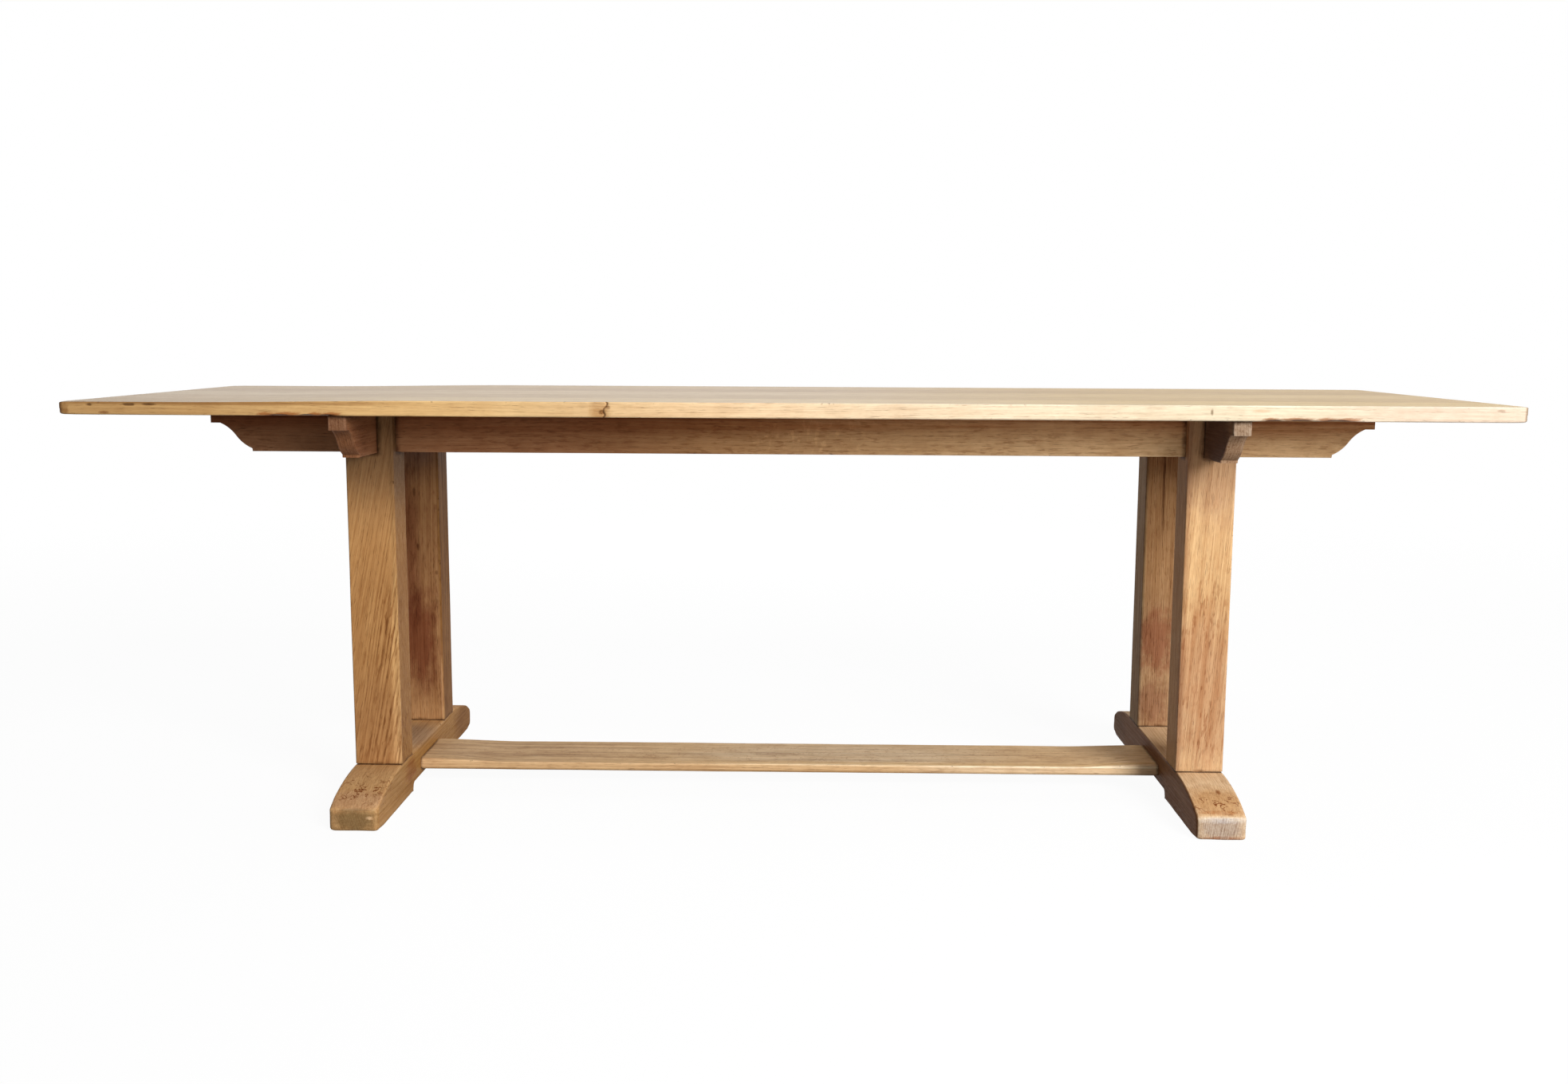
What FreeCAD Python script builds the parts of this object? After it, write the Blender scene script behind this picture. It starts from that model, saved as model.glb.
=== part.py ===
import FreeCAD, Part
import math
import os
import Sketcher

# A trestle dining table in oak.
# The top is five boards joined edge to edge with loose tongues. It lies on two long rails and
# two cross bearers that halve into each other inside the forked tops of four posts. The posts
# stand with wedged through tenons in two sledge feet, and a flat stretcher ties the feet.
# Frame: origin on the floor under the middle of the top, X along the top, Z up, millimetres.

# The sizes that can be changed by themselves, with a note for each.
SIZES = [
    ("table_length", 2430, "length of the top"),
    ("table_width", 785, "width of the top"),
    ("table_height", 750, "floor to the top's upper face"),
    ("top_thickness", 26, "thickness of the boards"),
    ("top_arris", 4, "rounding of the top's outer edges"),
    ("board_count", 5, "boards side by side in the top"),
    ("tongue_thickness", 6, "loose tongue between two boards"),
    ("tongue_width", 20, "the tongue across both grooves"),
    ("tongue_stop", 60, "end of the top to the end of a tongue"),
    ("beam_thickness", 30, "thickness of rails and bearers"),
    ("beam_height", 76, "height of rails and bearers"),
    ("rail_length", 2090, "long rails under the top"),
    ("bearer_length", 764, "cross bearers under the top"),
    ("ogee_end", 25, "square end above the ogee"),
    ("ogee_shoulder", 17, "flat shoulder before the ogee"),
    ("ogee_run", 57, "ogee along the beam"),
    ("ogee_step", 5, "small step under the ogee"),
    ("ogee_radius", 67, "radius of the hollow and of the round"),
    ("ogee_slope", 0.5, "run of the small step"),
    ("trestle_spacing", 1505, "middle to middle of the two trestles"),
    ("post_spacing", 326, "middle to middle of a trestle's posts"),
    ("post_width", 86, "post and foot along the table"),
    ("post_depth", 76, "post across the table"),
    ("post_arris", 2.5, "rounding of a post's corners"),
    ("tenon_thickness", 28, "post tenon along the table"),
    ("tenon_width", 56, "post tenon across the table"),
    ("tenon_inset", 2, "a through tenon stops this far inside"),
    ("wedge_length", 40, "tenon wedge"),
    ("wedge_thickness", 3, "tenon wedge at its thick end"),
    ("wedge_tip", 0.6, "tenon wedge at its thin end"),
    ("wedge_spacing", 26, "between the two wedges of a post"),
    ("foot_length", 735, "sledge foot across the table"),
    ("foot_height", 73, "sledge foot under the posts"),
    ("toe_height", 40, "sledge foot at its toe"),
    ("toe_radius", 450, "curve of the foot down to its toe"),
    ("toe_round", 6, "rounding of the toe's edges"),
    ("relief_length", 257, "gap under a foot between its pads"),
    ("relief_height", 17, "height of that gap"),
    ("stretcher_width", 143, "flat stretcher across the table"),
    ("stretcher_thickness", 21.5, "flat stretcher"),
    ("stretcher_height", 49, "floor to the stretcher's upper face"),
    ("finger_width", 42, "each tenon of the stretcher"),
    ("finger_thickness", 13, "each tenon of the stretcher"),
    ("finger_spacing", 76, "middle to middle of those tenons"),
    ("button_width", 32, "wooden button along the rail"),
    ("button_length", 34, "wooden button beside the rail"),
    ("button_height", 22, "wooden button"),
    ("lip_height", 10, "lip of the button"),
    ("lip_reach", 10, "lip of the button into the rail"),
    ("lip_play", 3, "room beside and beyond the lip"),
    ("button_spacing", 500, "between the buttons of a rail"),
    ("screw_diameter", 4.5, "shank of the wood screws"),
    ("head_diameter", 9, "head of the wood screws"),
    ("head_height", 2.6, "head of the wood screws"),
    ("screw_tip", 6, "pointed end of the wood screws"),
    ("screw_bite", 16, "screw's length inside the top"),
    ("screw_hold", 30, "bearer left above the screw's head"),
    ("counterbore", 14, "bore up the bearer for the head"),
    ("outer_screw", 30, "joint of the outer board to its screw"),
    ("fit_gap", 0.1, "clearance of a sliding fit, each side"),
    ("end_gap", 0.5, "clearance at the end of a blind fit"),
]

# Lines, faces and half sizes worked out from the sizes above.
PLACES = [
    ("half_length", "Sizes.table_length / 2"),
    ("top_floor", "Sizes.table_height - Sizes.top_thickness"),
    ("board_width", "Sizes.table_width / Sizes.board_count"),
    ("half_board", "Sizes.table_width / Sizes.board_count / 2"),
    ("groove_depth", "Sizes.tongue_width / 2 + Sizes.end_gap"),
    ("groove_start", "Places.half_board - Places.groove_depth"),
    ("tongue_floor", "Places.top_floor + (Sizes.top_thickness - Sizes.tongue_thickness) / 2"),
    ("groove_floor", "Places.tongue_floor - Sizes.fit_gap"),
    ("groove_roof", "Places.tongue_floor + Sizes.tongue_thickness + Sizes.fit_gap"),
    ("tongue_length", "Sizes.table_length - 2 * Sizes.tongue_stop"),
    ("half_tongue", "Places.tongue_length / 2"),
    ("groove_length", "Places.tongue_length + 2 * Sizes.end_gap"),
    ("beam_floor", "Places.top_floor - Sizes.beam_height"),
    ("beam_middle", "Places.top_floor - Sizes.beam_height / 2"),
    ("slot_half", "Sizes.beam_thickness / 2 + Sizes.fit_gap"),
    ("half_beam", "Sizes.beam_thickness / 2"),
    ("ogee_top", "Places.top_floor - Sizes.ogee_end"),
    ("ogee_foot", "Places.beam_floor + Sizes.ogee_step"),
    ("ogee_turn", "(Places.ogee_top + Places.ogee_foot) / 2"),
    ("rail_end", "Sizes.rail_length / 2"),
    ("rail_shoulder", "Places.rail_end - Sizes.ogee_shoulder"),
    ("rail_turn", "Places.rail_shoulder - Sizes.ogee_run / 2"),
    ("rail_ogee", "Places.rail_shoulder - Sizes.ogee_run"),
    ("rail_flat", "Places.rail_ogee - Sizes.ogee_slope"),
    ("bearer_end", "Sizes.bearer_length / 2"),
    ("bearer_shoulder", "Places.bearer_end - Sizes.ogee_shoulder"),
    ("bearer_turn", "Places.bearer_shoulder - Sizes.ogee_run / 2"),
    ("bearer_ogee", "Places.bearer_shoulder - Sizes.ogee_run"),
    ("bearer_flat", "Places.bearer_ogee - Sizes.ogee_slope"),
    ("trestle_x", "Sizes.trestle_spacing / 2"),
    ("post_y", "Sizes.post_spacing / 2"),
    ("rail_notch_near", "Places.trestle_x - Places.slot_half"),
    ("rail_notch_far", "Places.trestle_x + Places.slot_half"),
    ("bearer_notch_near", "Places.post_y - Places.slot_half"),
    ("bearer_notch_far", "Places.post_y + Places.slot_half"),
    ("half_post_width", "Sizes.post_width / 2"),
    ("half_post_depth", "Sizes.post_depth / 2"),
    ("post_height", "Places.top_floor - Sizes.foot_height"),
    ("half_tenon_thickness", "Sizes.tenon_thickness / 2"),
    ("half_tenon_width", "Sizes.tenon_width / 2"),
    ("tenon_length", "Sizes.foot_height - Sizes.tenon_inset"),
    ("wedge_roof", "Sizes.tenon_inset + Sizes.wedge_length"),
    ("wedge_mouth_near", "Sizes.wedge_spacing / 2 - Sizes.wedge_thickness / 2"),
    ("wedge_mouth_far", "Sizes.wedge_spacing / 2 + Sizes.wedge_thickness / 2"),
    ("wedge_tip_near", "Sizes.wedge_spacing / 2 - Sizes.wedge_tip / 2"),
    ("wedge_tip_far", "Sizes.wedge_spacing / 2 + Sizes.wedge_tip / 2"),
    ("toe_end", "Sizes.foot_length / 2"),
    ("toe_start", "Places.post_y + Places.half_post_depth"),
    ("pad_end", "Sizes.relief_length / 2"),
    ("mortise_half", "Places.half_tenon_thickness + Sizes.fit_gap"),
    ("mortise_near", "Places.post_y - Places.half_tenon_width - Sizes.fit_gap"),
    ("mortise_far", "Places.post_y + Places.half_tenon_width + Sizes.fit_gap"),
    ("stretcher_end", "Places.trestle_x - Places.half_post_width"),
    ("half_stretcher", "Sizes.stretcher_width / 2"),
    ("stretcher_floor", "Sizes.stretcher_height - Sizes.stretcher_thickness"),
    ("stretcher_middle", "Sizes.stretcher_height - Sizes.stretcher_thickness / 2"),
    ("finger_end", "Places.trestle_x + Places.half_post_width - Sizes.tenon_inset"),
    ("finger_near", "Sizes.finger_spacing / 2 - Sizes.finger_width / 2"),
    ("finger_far", "Sizes.finger_spacing / 2 + Sizes.finger_width / 2"),
    ("finger_hole_near", "Places.finger_near - Sizes.fit_gap"),
    ("finger_hole_far", "Places.finger_far + Sizes.fit_gap"),
    ("finger_hole_floor", "Places.stretcher_middle - Sizes.finger_thickness / 2 - Sizes.fit_gap"),
    ("finger_hole_roof", "Places.stretcher_middle + Sizes.finger_thickness / 2 + Sizes.fit_gap"),
    ("kerf_end", "Places.finger_end - Sizes.wedge_length"),
    ("kerf_mouth_near", "Sizes.finger_spacing / 2 - Sizes.wedge_thickness / 2"),
    ("kerf_mouth_far", "Sizes.finger_spacing / 2 + Sizes.wedge_thickness / 2"),
    ("kerf_tip_near", "Sizes.finger_spacing / 2 - Sizes.wedge_tip / 2"),
    ("kerf_tip_far", "Sizes.finger_spacing / 2 + Sizes.wedge_tip / 2"),
    ("button_face", "Places.post_y - Places.half_beam"),
    ("half_button", "Sizes.button_width / 2"),
    ("button_floor", "Places.top_floor - Sizes.button_height"),
    ("lip_roof", "Places.button_floor + Sizes.lip_height"),
    ("lip_slot_half", "Places.half_button + Sizes.lip_play"),
    ("lip_slot_near", "Sizes.button_spacing - Places.lip_slot_half"),
    ("lip_slot_far", "Sizes.button_spacing + Places.lip_slot_half"),
    ("lip_slot_floor", "Places.button_floor - Sizes.fit_gap"),
    ("lip_slot_depth", "Sizes.lip_reach + Sizes.lip_play"),
    ("button_screw_reach", "Sizes.button_length / 2"),
    ("button_screw_y", "Places.button_face - Places.button_screw_reach"),
    ("screw_radius", "Sizes.screw_diameter / 2"),
    ("head_radius", "Sizes.head_diameter / 2"),
    ("point_radius", "Places.screw_radius / 5"),
    ("hole_radius", "Places.screw_radius + Sizes.fit_gap"),
    ("bearer_shank", "Sizes.screw_hold + Sizes.screw_bite - Sizes.screw_tip"),
    ("button_shank", "Sizes.button_height + Sizes.screw_bite - Sizes.screw_tip"),
    ("pilot_depth", "Sizes.screw_bite + Sizes.end_gap"),
    ("screw_seat", "Places.top_floor - Sizes.screw_hold"),
    ("counterbore_depth", "Places.screw_seat - Places.beam_floor"),
    ("counterbore_radius", "Sizes.counterbore / 2"),
    ("outer_screw_y", "Sizes.table_width / 2 - Places.board_width + Sizes.outer_screw"),
    ("outer_screw_row", "Places.half_board - Sizes.outer_screw"),
    ("button_screw_row", "Places.button_screw_y - Places.board_width"),
]

UP = FreeCAD.Vector(0, 0, 1)
CORNER = FreeCAD.Vector(1, 1, 1)

doc = FreeCAD.newDocument("trestle_table")
subparts = []


def fill_sheet(name, rows):
    """Makes a sheet with one named cell a row: its alias, what it holds and its note."""
    sheet = doc.addObject("Spreadsheet::Sheet", name)
    for row, cells in enumerate(rows, start=1):
        sheet.set(f"A{row}", cells[0])
        sheet.set(f"B{row}", cells[1])
        sheet.setAlias(f"B{row}", cells[0])
        if len(cells) > 2:
            sheet.set(f"C{row}", cells[2])
    return sheet


sizes = fill_sheet("Sizes", [(alias, str(value), note) for alias, value, note in SIZES])
places = fill_sheet("Places", [(alias, "=" + formula) for alias, formula in PLACES])
doc.recompute()
PLACE_NAMES = {alias for alias, formula in PLACES}


def cell(name):
    """The full name of a cell, for an expression."""
    return ("Places." if name in PLACE_NAMES else "Sizes.") + name


def number(name):
    """The value of a cell, with its sign: "-half_board" is the same line on the other side."""
    if name == "0":
        return 0.0
    sheet = places if name.lstrip("-") in PLACE_NAMES else sizes
    value = float(sheet.get(name.lstrip("-")))
    return -value if name.startswith("-") else value


def bind(item, **names):
    """Binds properties of an object to cells: Length="post_height"."""
    for prop, name in names.items():
        item.setExpression(prop, cell(name))


def shift(item, x=None, y=None, z=None):
    """Binds an object's place to cells. A leading minus puts it on the other side."""
    for axis, name in (("x", x), ("y", y), ("z", z)):
        if name is None:
            continue
        sign = "-" if name.startswith("-") else ""
        item.setExpression(f"Placement.Base.{axis}", sign + cell(name.lstrip("-")))


def turn(item, axis, degrees):
    """Turns an object about its own origin."""
    item.Placement = FreeCAD.Placement(item.Placement.Base, FreeCAD.Rotation(axis, degrees))


def finish(item, label):
    """Names a sub-part and puts it on the list of those to be written."""
    item.Label = label
    subparts.append(item)
    return item


# Sketches

def sketch_on(body, name, plane, offset=None):
    """A sketch on one of the body's own origin planes, raised by a cell if one is given."""
    sketch = body.newObject("Sketcher::SketchObject", name)
    support = next(item for item in body.Origin.OriginFeatures if item.Role == plane)
    sketch.AttachmentSupport = (support, [""])
    sketch.MapMode = "FlatFace"
    if offset:
        sign = "-" if offset.startswith("-") else ""
        sketch.setExpression("AttachmentOffset.Base.z", sign + cell(offset.lstrip("-")))
    return sketch


def locate(sketch, curve, end, across, up):
    """Ties a point of the sketch to two cells, one for each direction."""
    for kind, name, axis in (("DistanceX", across, -2), ("DistanceY", up, -1)):
        if name == "0":
            sketch.addConstraint(Sketcher.Constraint("PointOnObject", curve, end, axis))
            continue
        value = number(name)
        ends = (curve, end, -1, 1) if value < 0 else (-1, 1, curve, end)
        index = sketch.addConstraint(Sketcher.Constraint(kind, *ends, abs(value)))
        sign = "-" if name.startswith("-") != (value < 0) else ""
        sketch.setExpression(f"Constraints[{index}]", sign + cell(name.lstrip("-")))


def outline(sketch, corners, arcs=None):
    """A closed outline through corners, each two cells. arcs gives, for the side that leaves a
    corner, its radius cell and the hand on which it bulges: 1 is left, -1 is right."""
    arcs = arcs or {}
    points = [FreeCAD.Vector(number(across), number(up), 0) for across, up in corners]
    ends = []
    for index, start in enumerate(points):
        stop = points[(index + 1) % len(points)]
        if index in arcs:
            radius, hand = arcs[index]
            curve, first, last = add_arc(sketch, start, stop, radius, hand)
        else:
            curve = sketch.addGeometry(Part.LineSegment(start, stop), False)
            first, last = 1, 2
        ends.append((curve, first, last))
    for index, (curve, first, last) in enumerate(ends):
        before = ends[index - 1]
        sketch.addConstraint(Sketcher.Constraint("Coincident", before[0], before[2], curve, first))
    for (curve, first, last), (across, up) in zip(ends, corners):
        locate(sketch, curve, first, across, up)


def add_arc(sketch, start, stop, radius, hand):
    """One arc of the given radius from start to stop, and which of its ends is which."""
    chord = stop - start
    size = number(radius)
    rise = size - math.sqrt(size ** 2 - (chord.Length / 2) ** 2)
    side = FreeCAD.Vector(-chord.y, chord.x, 0).normalize()
    middle = (start + stop) / 2 + side * rise * hand
    curve = sketch.addGeometry(Part.Arc(start, middle, stop), False)
    forward = sketch.getPoint(curve, 1).distanceToPoint(start) < 1e-6
    index = sketch.addConstraint(Sketcher.Constraint("Radius", curve, size))
    sketch.setExpression(f"Constraints[{index}]", cell(radius))
    return (curve, 1, 2) if forward else (curve, 2, 1)


def rectangle(sketch, left, right, low, high):
    """A rectangle between four cells."""
    outline(sketch, [(left, low), (right, low), (right, high), (left, high)])


def circle(sketch, across, up, radius):
    """A circle with its centre and radius in cells."""
    centre = FreeCAD.Vector(number(across), number(up), 0)
    shape = Part.Circle(centre, FreeCAD.Vector(0, 0, 1), number(radius))
    curve = sketch.addGeometry(shape, False)
    locate(sketch, curve, 3, across, up)
    index = sketch.addConstraint(Sketcher.Constraint("Radius", curve, number(radius)))
    sketch.setExpression(f"Constraints[{index}]", cell(radius))


# Features

def feature(body, kind, name, sketch, length, symmetric, reverse):
    """A Pad or Pocket with its length in a cell."""
    item = body.newObject("PartDesign::" + kind, name)
    item.Profile = sketch
    item.SideType = "Symmetric" if symmetric else "One side"
    item.Reversed = reverse
    bind(item, Length=length)
    doc.recompute()
    return item


def pad(body, name, sketch, length, symmetric=False):
    """Material along the sketch's normal, or on both sides of the sketch."""
    return feature(body, "Pad", name, sketch, length, symmetric, False)


def pocket(body, name, sketch, length, symmetric=False, reverse=False):
    """A cut against the sketch's normal, along it with reverse, or on both sides. It has to
    take material away."""
    before = body.Shape.Volume
    item = feature(body, "Pocket", name, sketch, length, symmetric, reverse)
    if not body.Shape.Volume < before:
        raise RuntimeError(f"{name} cuts nothing")
    return item


def soften(body, name, chosen, radius):
    """Rounds the edges of the body for which chosen(box of the edge) is true."""
    base = body.Tip
    edges = [f"Edge{index}" for index, edge in enumerate(base.Shape.Edges, start=1)
             if chosen(edge.BoundBox)]
    item = body.newObject("PartDesign::Fillet", name)
    item.Base = (base, edges)
    bind(item, Radius=radius)
    doc.recompute()
    return item


def near(first, second):
    """True where two lengths are the same line."""
    return abs(first - second) < 0.01


# The top

def top_board(place, count):
    """One board of the top. Grooves for the tongues run along its joints and stop short of its
    ends, and its underside has the pilot holes of the screws that come up under it."""
    name = f"top_board_{place}"
    body = doc.addObject("PartDesign::Body", name)
    plan = sketch_on(body, name + "_plan", "XY_Plane", "top_floor")
    rectangle(plan, "-half_length", "half_length", "-half_board", "half_board")
    pad(body, name + "_plank", plan, "top_thickness")

    grooves = sketch_on(body, name + "_grooves", "YZ_Plane")
    if place > 1:
        rectangle(grooves, "-half_board", "-groove_start", "groove_floor", "groove_roof")
    if place < count:
        rectangle(grooves, "groove_start", "half_board", "groove_floor", "groove_roof")
    pocket(body, name + "_groove", grooves, "groove_length", symmetric=True)

    points = pilot_points(place, count)
    if points:
        pilots = sketch_on(body, name + "_pilots", "XY_Plane", "top_floor")
        for along, across in points:
            circle(pilots, along, across, "hole_radius")
        pocket(body, name + "_pilot", pilots, "pilot_depth", reverse=True)

    soften(body, name + "_arris", lambda box: on_top_edge(box, place, count), "top_arris")
    across = f"({place} - (Sizes.board_count + 1) / 2) * Places.board_width"
    body.setExpression("Placement.Base.y", across)
    return finish(body, name)


def pilot_points(place, count):
    """The screws that bite into a board, from the board's own middle: bearer screws in the
    outer boards and the middle one, button screws in the boards beside the middle one."""
    from_middle = place - (count + 1) / 2
    side = "-" if from_middle > 0 else ""
    if place in (1, count):
        return [(along, side + "outer_screw_row") for along in ("-trestle_x", "trestle_x")]
    if from_middle == 0:
        return [(along, "0") for along in ("-trestle_x", "trestle_x")]
    if abs(from_middle) == 1:
        row = "button_screw_row" if from_middle > 0 else "-button_screw_row"
        return [(along, row) for along in ("-button_spacing", "0", "button_spacing")]
    return []


def on_top_edge(box, place, count):
    """True for an edge of a board that lies on the outer edge of the whole top."""
    flat = box.ZLength < 0.01
    at_end = box.XLength < 0.01 and near(abs(box.XMin), number("half_length"))
    outer = (place == 1 and near(box.YMax, -number("half_board"))
             or place == count and near(box.YMin, number("half_board")))
    return at_end and flat or outer


def top_tongue(place):
    """A loose tongue in the grooves between two boards."""
    tongue = doc.addObject("Part::Box", f"top_tongue_{place}")
    bind(tongue, Length="tongue_length", Width="tongue_width", Height="tongue_thickness")
    shift(tongue, x="-half_tongue", z="tongue_floor")
    across = f"({place} - Sizes.board_count / 2) * Places.board_width - Sizes.tongue_width / 2"
    tongue.setExpression("Placement.Base.y", across)
    return finish(tongue, f"top_tongue_{place}")


# The beams under the top

def ogee_outline(sketch, beam):
    """A beam seen from its side: square at the top, and at each end a short square end, a flat
    shoulder, a hollow, a round and a small step down to its lower edge."""
    right = [(f"{beam}_end", "top_floor"), (f"{beam}_end", "ogee_top"),
             (f"{beam}_shoulder", "ogee_top"), (f"{beam}_turn", "ogee_turn"),
             (f"{beam}_ogee", "ogee_foot"), (f"{beam}_flat", "beam_floor")]
    left = [("-" + across, up) for across, up in reversed(right)]
    hollow, rounded = ("ogee_radius", -1), ("ogee_radius", 1)
    outline(sketch, right + left, {2: hollow, 3: rounded, 7: rounded, 8: hollow})


def rail(name, half_turn):
    """A long rail. Its notches drop over the bearers, and slots in its inner side take the
    lips of the buttons."""
    body = doc.addObject("PartDesign::Body", name)
    side = sketch_on(body, name + "_side", "XZ_Plane")
    ogee_outline(side, "rail")
    pad(body, name + "_beam", side, "beam_thickness", symmetric=True)

    notches = sketch_on(body, name + "_notches", "XZ_Plane")
    rectangle(notches, "rail_notch_near", "rail_notch_far", "beam_floor", "beam_middle")
    rectangle(notches, "-rail_notch_far", "-rail_notch_near", "beam_floor", "beam_middle")
    pocket(body, name + "_notch", notches, "beam_thickness", symmetric=True)

    slots = sketch_on(body, name + "_slots", "XZ_Plane", "-half_beam")
    for left, right in (("-lip_slot_far", "-lip_slot_near"), ("-lip_slot_half", "lip_slot_half"),
                        ("lip_slot_near", "lip_slot_far")):
        rectangle(slots, left, right, "lip_slot_floor", "lip_roof")
    pocket(body, name + "_slot", slots, "lip_slot_depth", reverse=True)

    if half_turn:
        turn(body, UP, 180)
    shift(body, y="post_y" if half_turn else "-post_y")
    return finish(body, name)


def bearer(name, across):
    """A cross bearer. The rails drop into the notches in its upper edge, and three bores come
    up from below for the screws into the top."""
    body = doc.addObject("PartDesign::Body", name)
    side = sketch_on(body, name + "_side", "YZ_Plane")
    ogee_outline(side, "bearer")
    pad(body, name + "_beam", side, "beam_thickness", symmetric=True)

    notches = sketch_on(body, name + "_notches", "YZ_Plane")
    rectangle(notches, "bearer_notch_near", "bearer_notch_far", "beam_middle", "top_floor")
    rectangle(notches, "-bearer_notch_far", "-bearer_notch_near", "beam_middle", "top_floor")
    pocket(body, name + "_notch", notches, "beam_thickness", symmetric=True)

    for kind, radius, depth in (("bore", "counterbore_radius", "counterbore_depth"),
                                ("hole", "hole_radius", "beam_height")):
        sketch = sketch_on(body, f"{name}_{kind}s", "XY_Plane", "beam_floor")
        for row in ("-outer_screw_y", "0", "outer_screw_y"):
            circle(sketch, "0", row, radius)
        pocket(body, f"{name}_{kind}", sketch, depth, reverse=True)

    shift(body, x=across)
    return finish(body, name)


# The trestles

def post(name, along, across):
    """A post with a forked top round the crossing of rail and bearer, and a through tenon with
    two saw cuts for its wedges."""
    body = doc.addObject("PartDesign::Body", name)
    shaft = sketch_on(body, name + "_section", "XY_Plane", "foot_height")
    rectangle(shaft, "-half_post_width", "half_post_width", "-half_post_depth", "half_post_depth")
    pad(body, name + "_shaft", shaft, "post_height")

    tenon = sketch_on(body, name + "_tenon_section", "XY_Plane", "tenon_inset")
    rectangle(tenon, "-half_tenon_thickness", "half_tenon_thickness",
              "-half_tenon_width", "half_tenon_width")
    pad(body, name + "_tenon", tenon, "tenon_length")

    for plane, width, kind in (("XZ_Plane", "post_depth", "bearer"),
                               ("YZ_Plane", "post_width", "rail")):
        fork = sketch_on(body, f"{name}_{kind}_fork", plane)
        rectangle(fork, "-slot_half", "slot_half", "beam_floor", "top_floor")
        pocket(body, f"{name}_{kind}_slot", fork, width, symmetric=True)

    cuts = sketch_on(body, name + "_cuts", "YZ_Plane")
    for hand in ("", "-"):
        outline(cuts, [(hand + "wedge_mouth_near", "tenon_inset"),
                       (hand + "wedge_mouth_far", "tenon_inset"),
                       (hand + "wedge_tip_far", "wedge_roof"),
                       (hand + "wedge_tip_near", "wedge_roof")])
    pocket(body, name + "_cut", cuts, "tenon_thickness", symmetric=True)

    soften(body, name + "_arris", on_post_corner, "post_arris")
    shift(body, x=along, y=across)
    return finish(body, name)


def on_post_corner(box):
    """True for an upright edge at a corner of the post's shaft."""
    upright = box.XLength < 0.01 and box.YLength < 0.01
    return (upright and near(abs(box.XMin), number("half_post_width"))
            and near(abs(box.YMin), number("half_post_depth")))


def foot(name, along):
    """A sledge foot. Its upper side curves down to each toe, a gap below parts its two pads, and
    it is mortised right through for the posts and for the stretcher."""
    body = doc.addObject("PartDesign::Body", name)
    side = sketch_on(body, name + "_side", "YZ_Plane")
    right = [("pad_end", "0"), ("toe_end", "0"), ("toe_end", "toe_height"),
             ("toe_start", "foot_height")]
    left = [("-" + across, up) for across, up in reversed(right)]
    gap = [("-pad_end", "relief_height"), ("pad_end", "relief_height")]
    outline(side, right + left + gap, {2: ("toe_radius", -1), 4: ("toe_radius", -1)})
    pad(body, name + "_beam", side, "post_width", symmetric=True)
    soften(body, name + "_toe", on_toe, "toe_round")

    mortises = sketch_on(body, name + "_mortises", "XY_Plane")
    rectangle(mortises, "-mortise_half", "mortise_half", "mortise_near", "mortise_far")
    rectangle(mortises, "-mortise_half", "mortise_half", "-mortise_far", "-mortise_near")
    pocket(body, name + "_mortise", mortises, "foot_height", reverse=True)

    holes = sketch_on(body, name + "_finger_holes", "YZ_Plane")
    for near_side, far_side in (("finger_hole_near", "finger_hole_far"),
                                ("-finger_hole_far", "-finger_hole_near")):
        rectangle(holes, near_side, far_side, "finger_hole_floor", "finger_hole_roof")
    pocket(body, name + "_finger_hole", holes, "post_width", symmetric=True)

    shift(body, x=along)
    return finish(body, name)


def on_toe(box):
    """True for the upper and the lower edge of a toe."""
    level = box.YLength < 0.01 and box.ZLength < 0.01
    return level and near(abs(box.YMin), number("toe_end"))


def stretcher():
    """The flat board between the feet, with two through tenons at each end, each with a saw cut
    for its wedge."""
    body = doc.addObject("PartDesign::Body", "stretcher")
    plan = sketch_on(body, "stretcher_plan", "XY_Plane", "stretcher_floor")
    rectangle(plan, "-stretcher_end", "stretcher_end", "-half_stretcher", "half_stretcher")
    pad(body, "stretcher_board", plan, "stretcher_thickness")

    fingers = sketch_on(body, "stretcher_fingers", "XY_Plane", "stretcher_middle")
    rectangle(fingers, "-finger_end", "finger_end", "finger_near", "finger_far")
    rectangle(fingers, "-finger_end", "finger_end", "-finger_far", "-finger_near")
    pad(body, "stretcher_finger", fingers, "finger_thickness", symmetric=True)

    cuts = sketch_on(body, "stretcher_cuts", "XY_Plane", "stretcher_middle")
    for end in ("", "-"):
        for hand in ("", "-"):
            outline(cuts, [(end + "finger_end", hand + "kerf_mouth_near"),
                           (end + "finger_end", hand + "kerf_mouth_far"),
                           (end + "kerf_end", hand + "kerf_tip_far"),
                           (end + "kerf_end", hand + "kerf_tip_near")])
    pocket(body, "stretcher_cut", cuts, "finger_thickness", symmetric=True)
    return finish(body, "stretcher")


# What holds the pieces together

def top_button(place, along, half_turn):
    """A wooden button: it is screwed up under the top, and its lip hooks into the rail."""
    name = f"top_button_{place}"
    body = doc.addObject("PartDesign::Body", name)
    side = sketch_on(body, name + "_side", "YZ_Plane")
    outline(side, [("-lip_reach", "button_floor"), ("button_length", "button_floor"),
                   ("button_length", "top_floor"), ("0", "top_floor"), ("0", "lip_roof"),
                   ("-lip_reach", "lip_roof")])
    pad(body, name + "_block", side, "button_width", symmetric=True)
    hole = sketch_on(body, name + "_hole", "XY_Plane", "button_floor")
    circle(hole, "0", "button_screw_reach", "hole_radius")
    pocket(body, name + "_bore", hole, "button_height", reverse=True)
    if half_turn:
        turn(body, UP, 180)
    shift(body, x=along, y="button_face" if half_turn else "-button_face")
    return finish(body, name)


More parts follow.
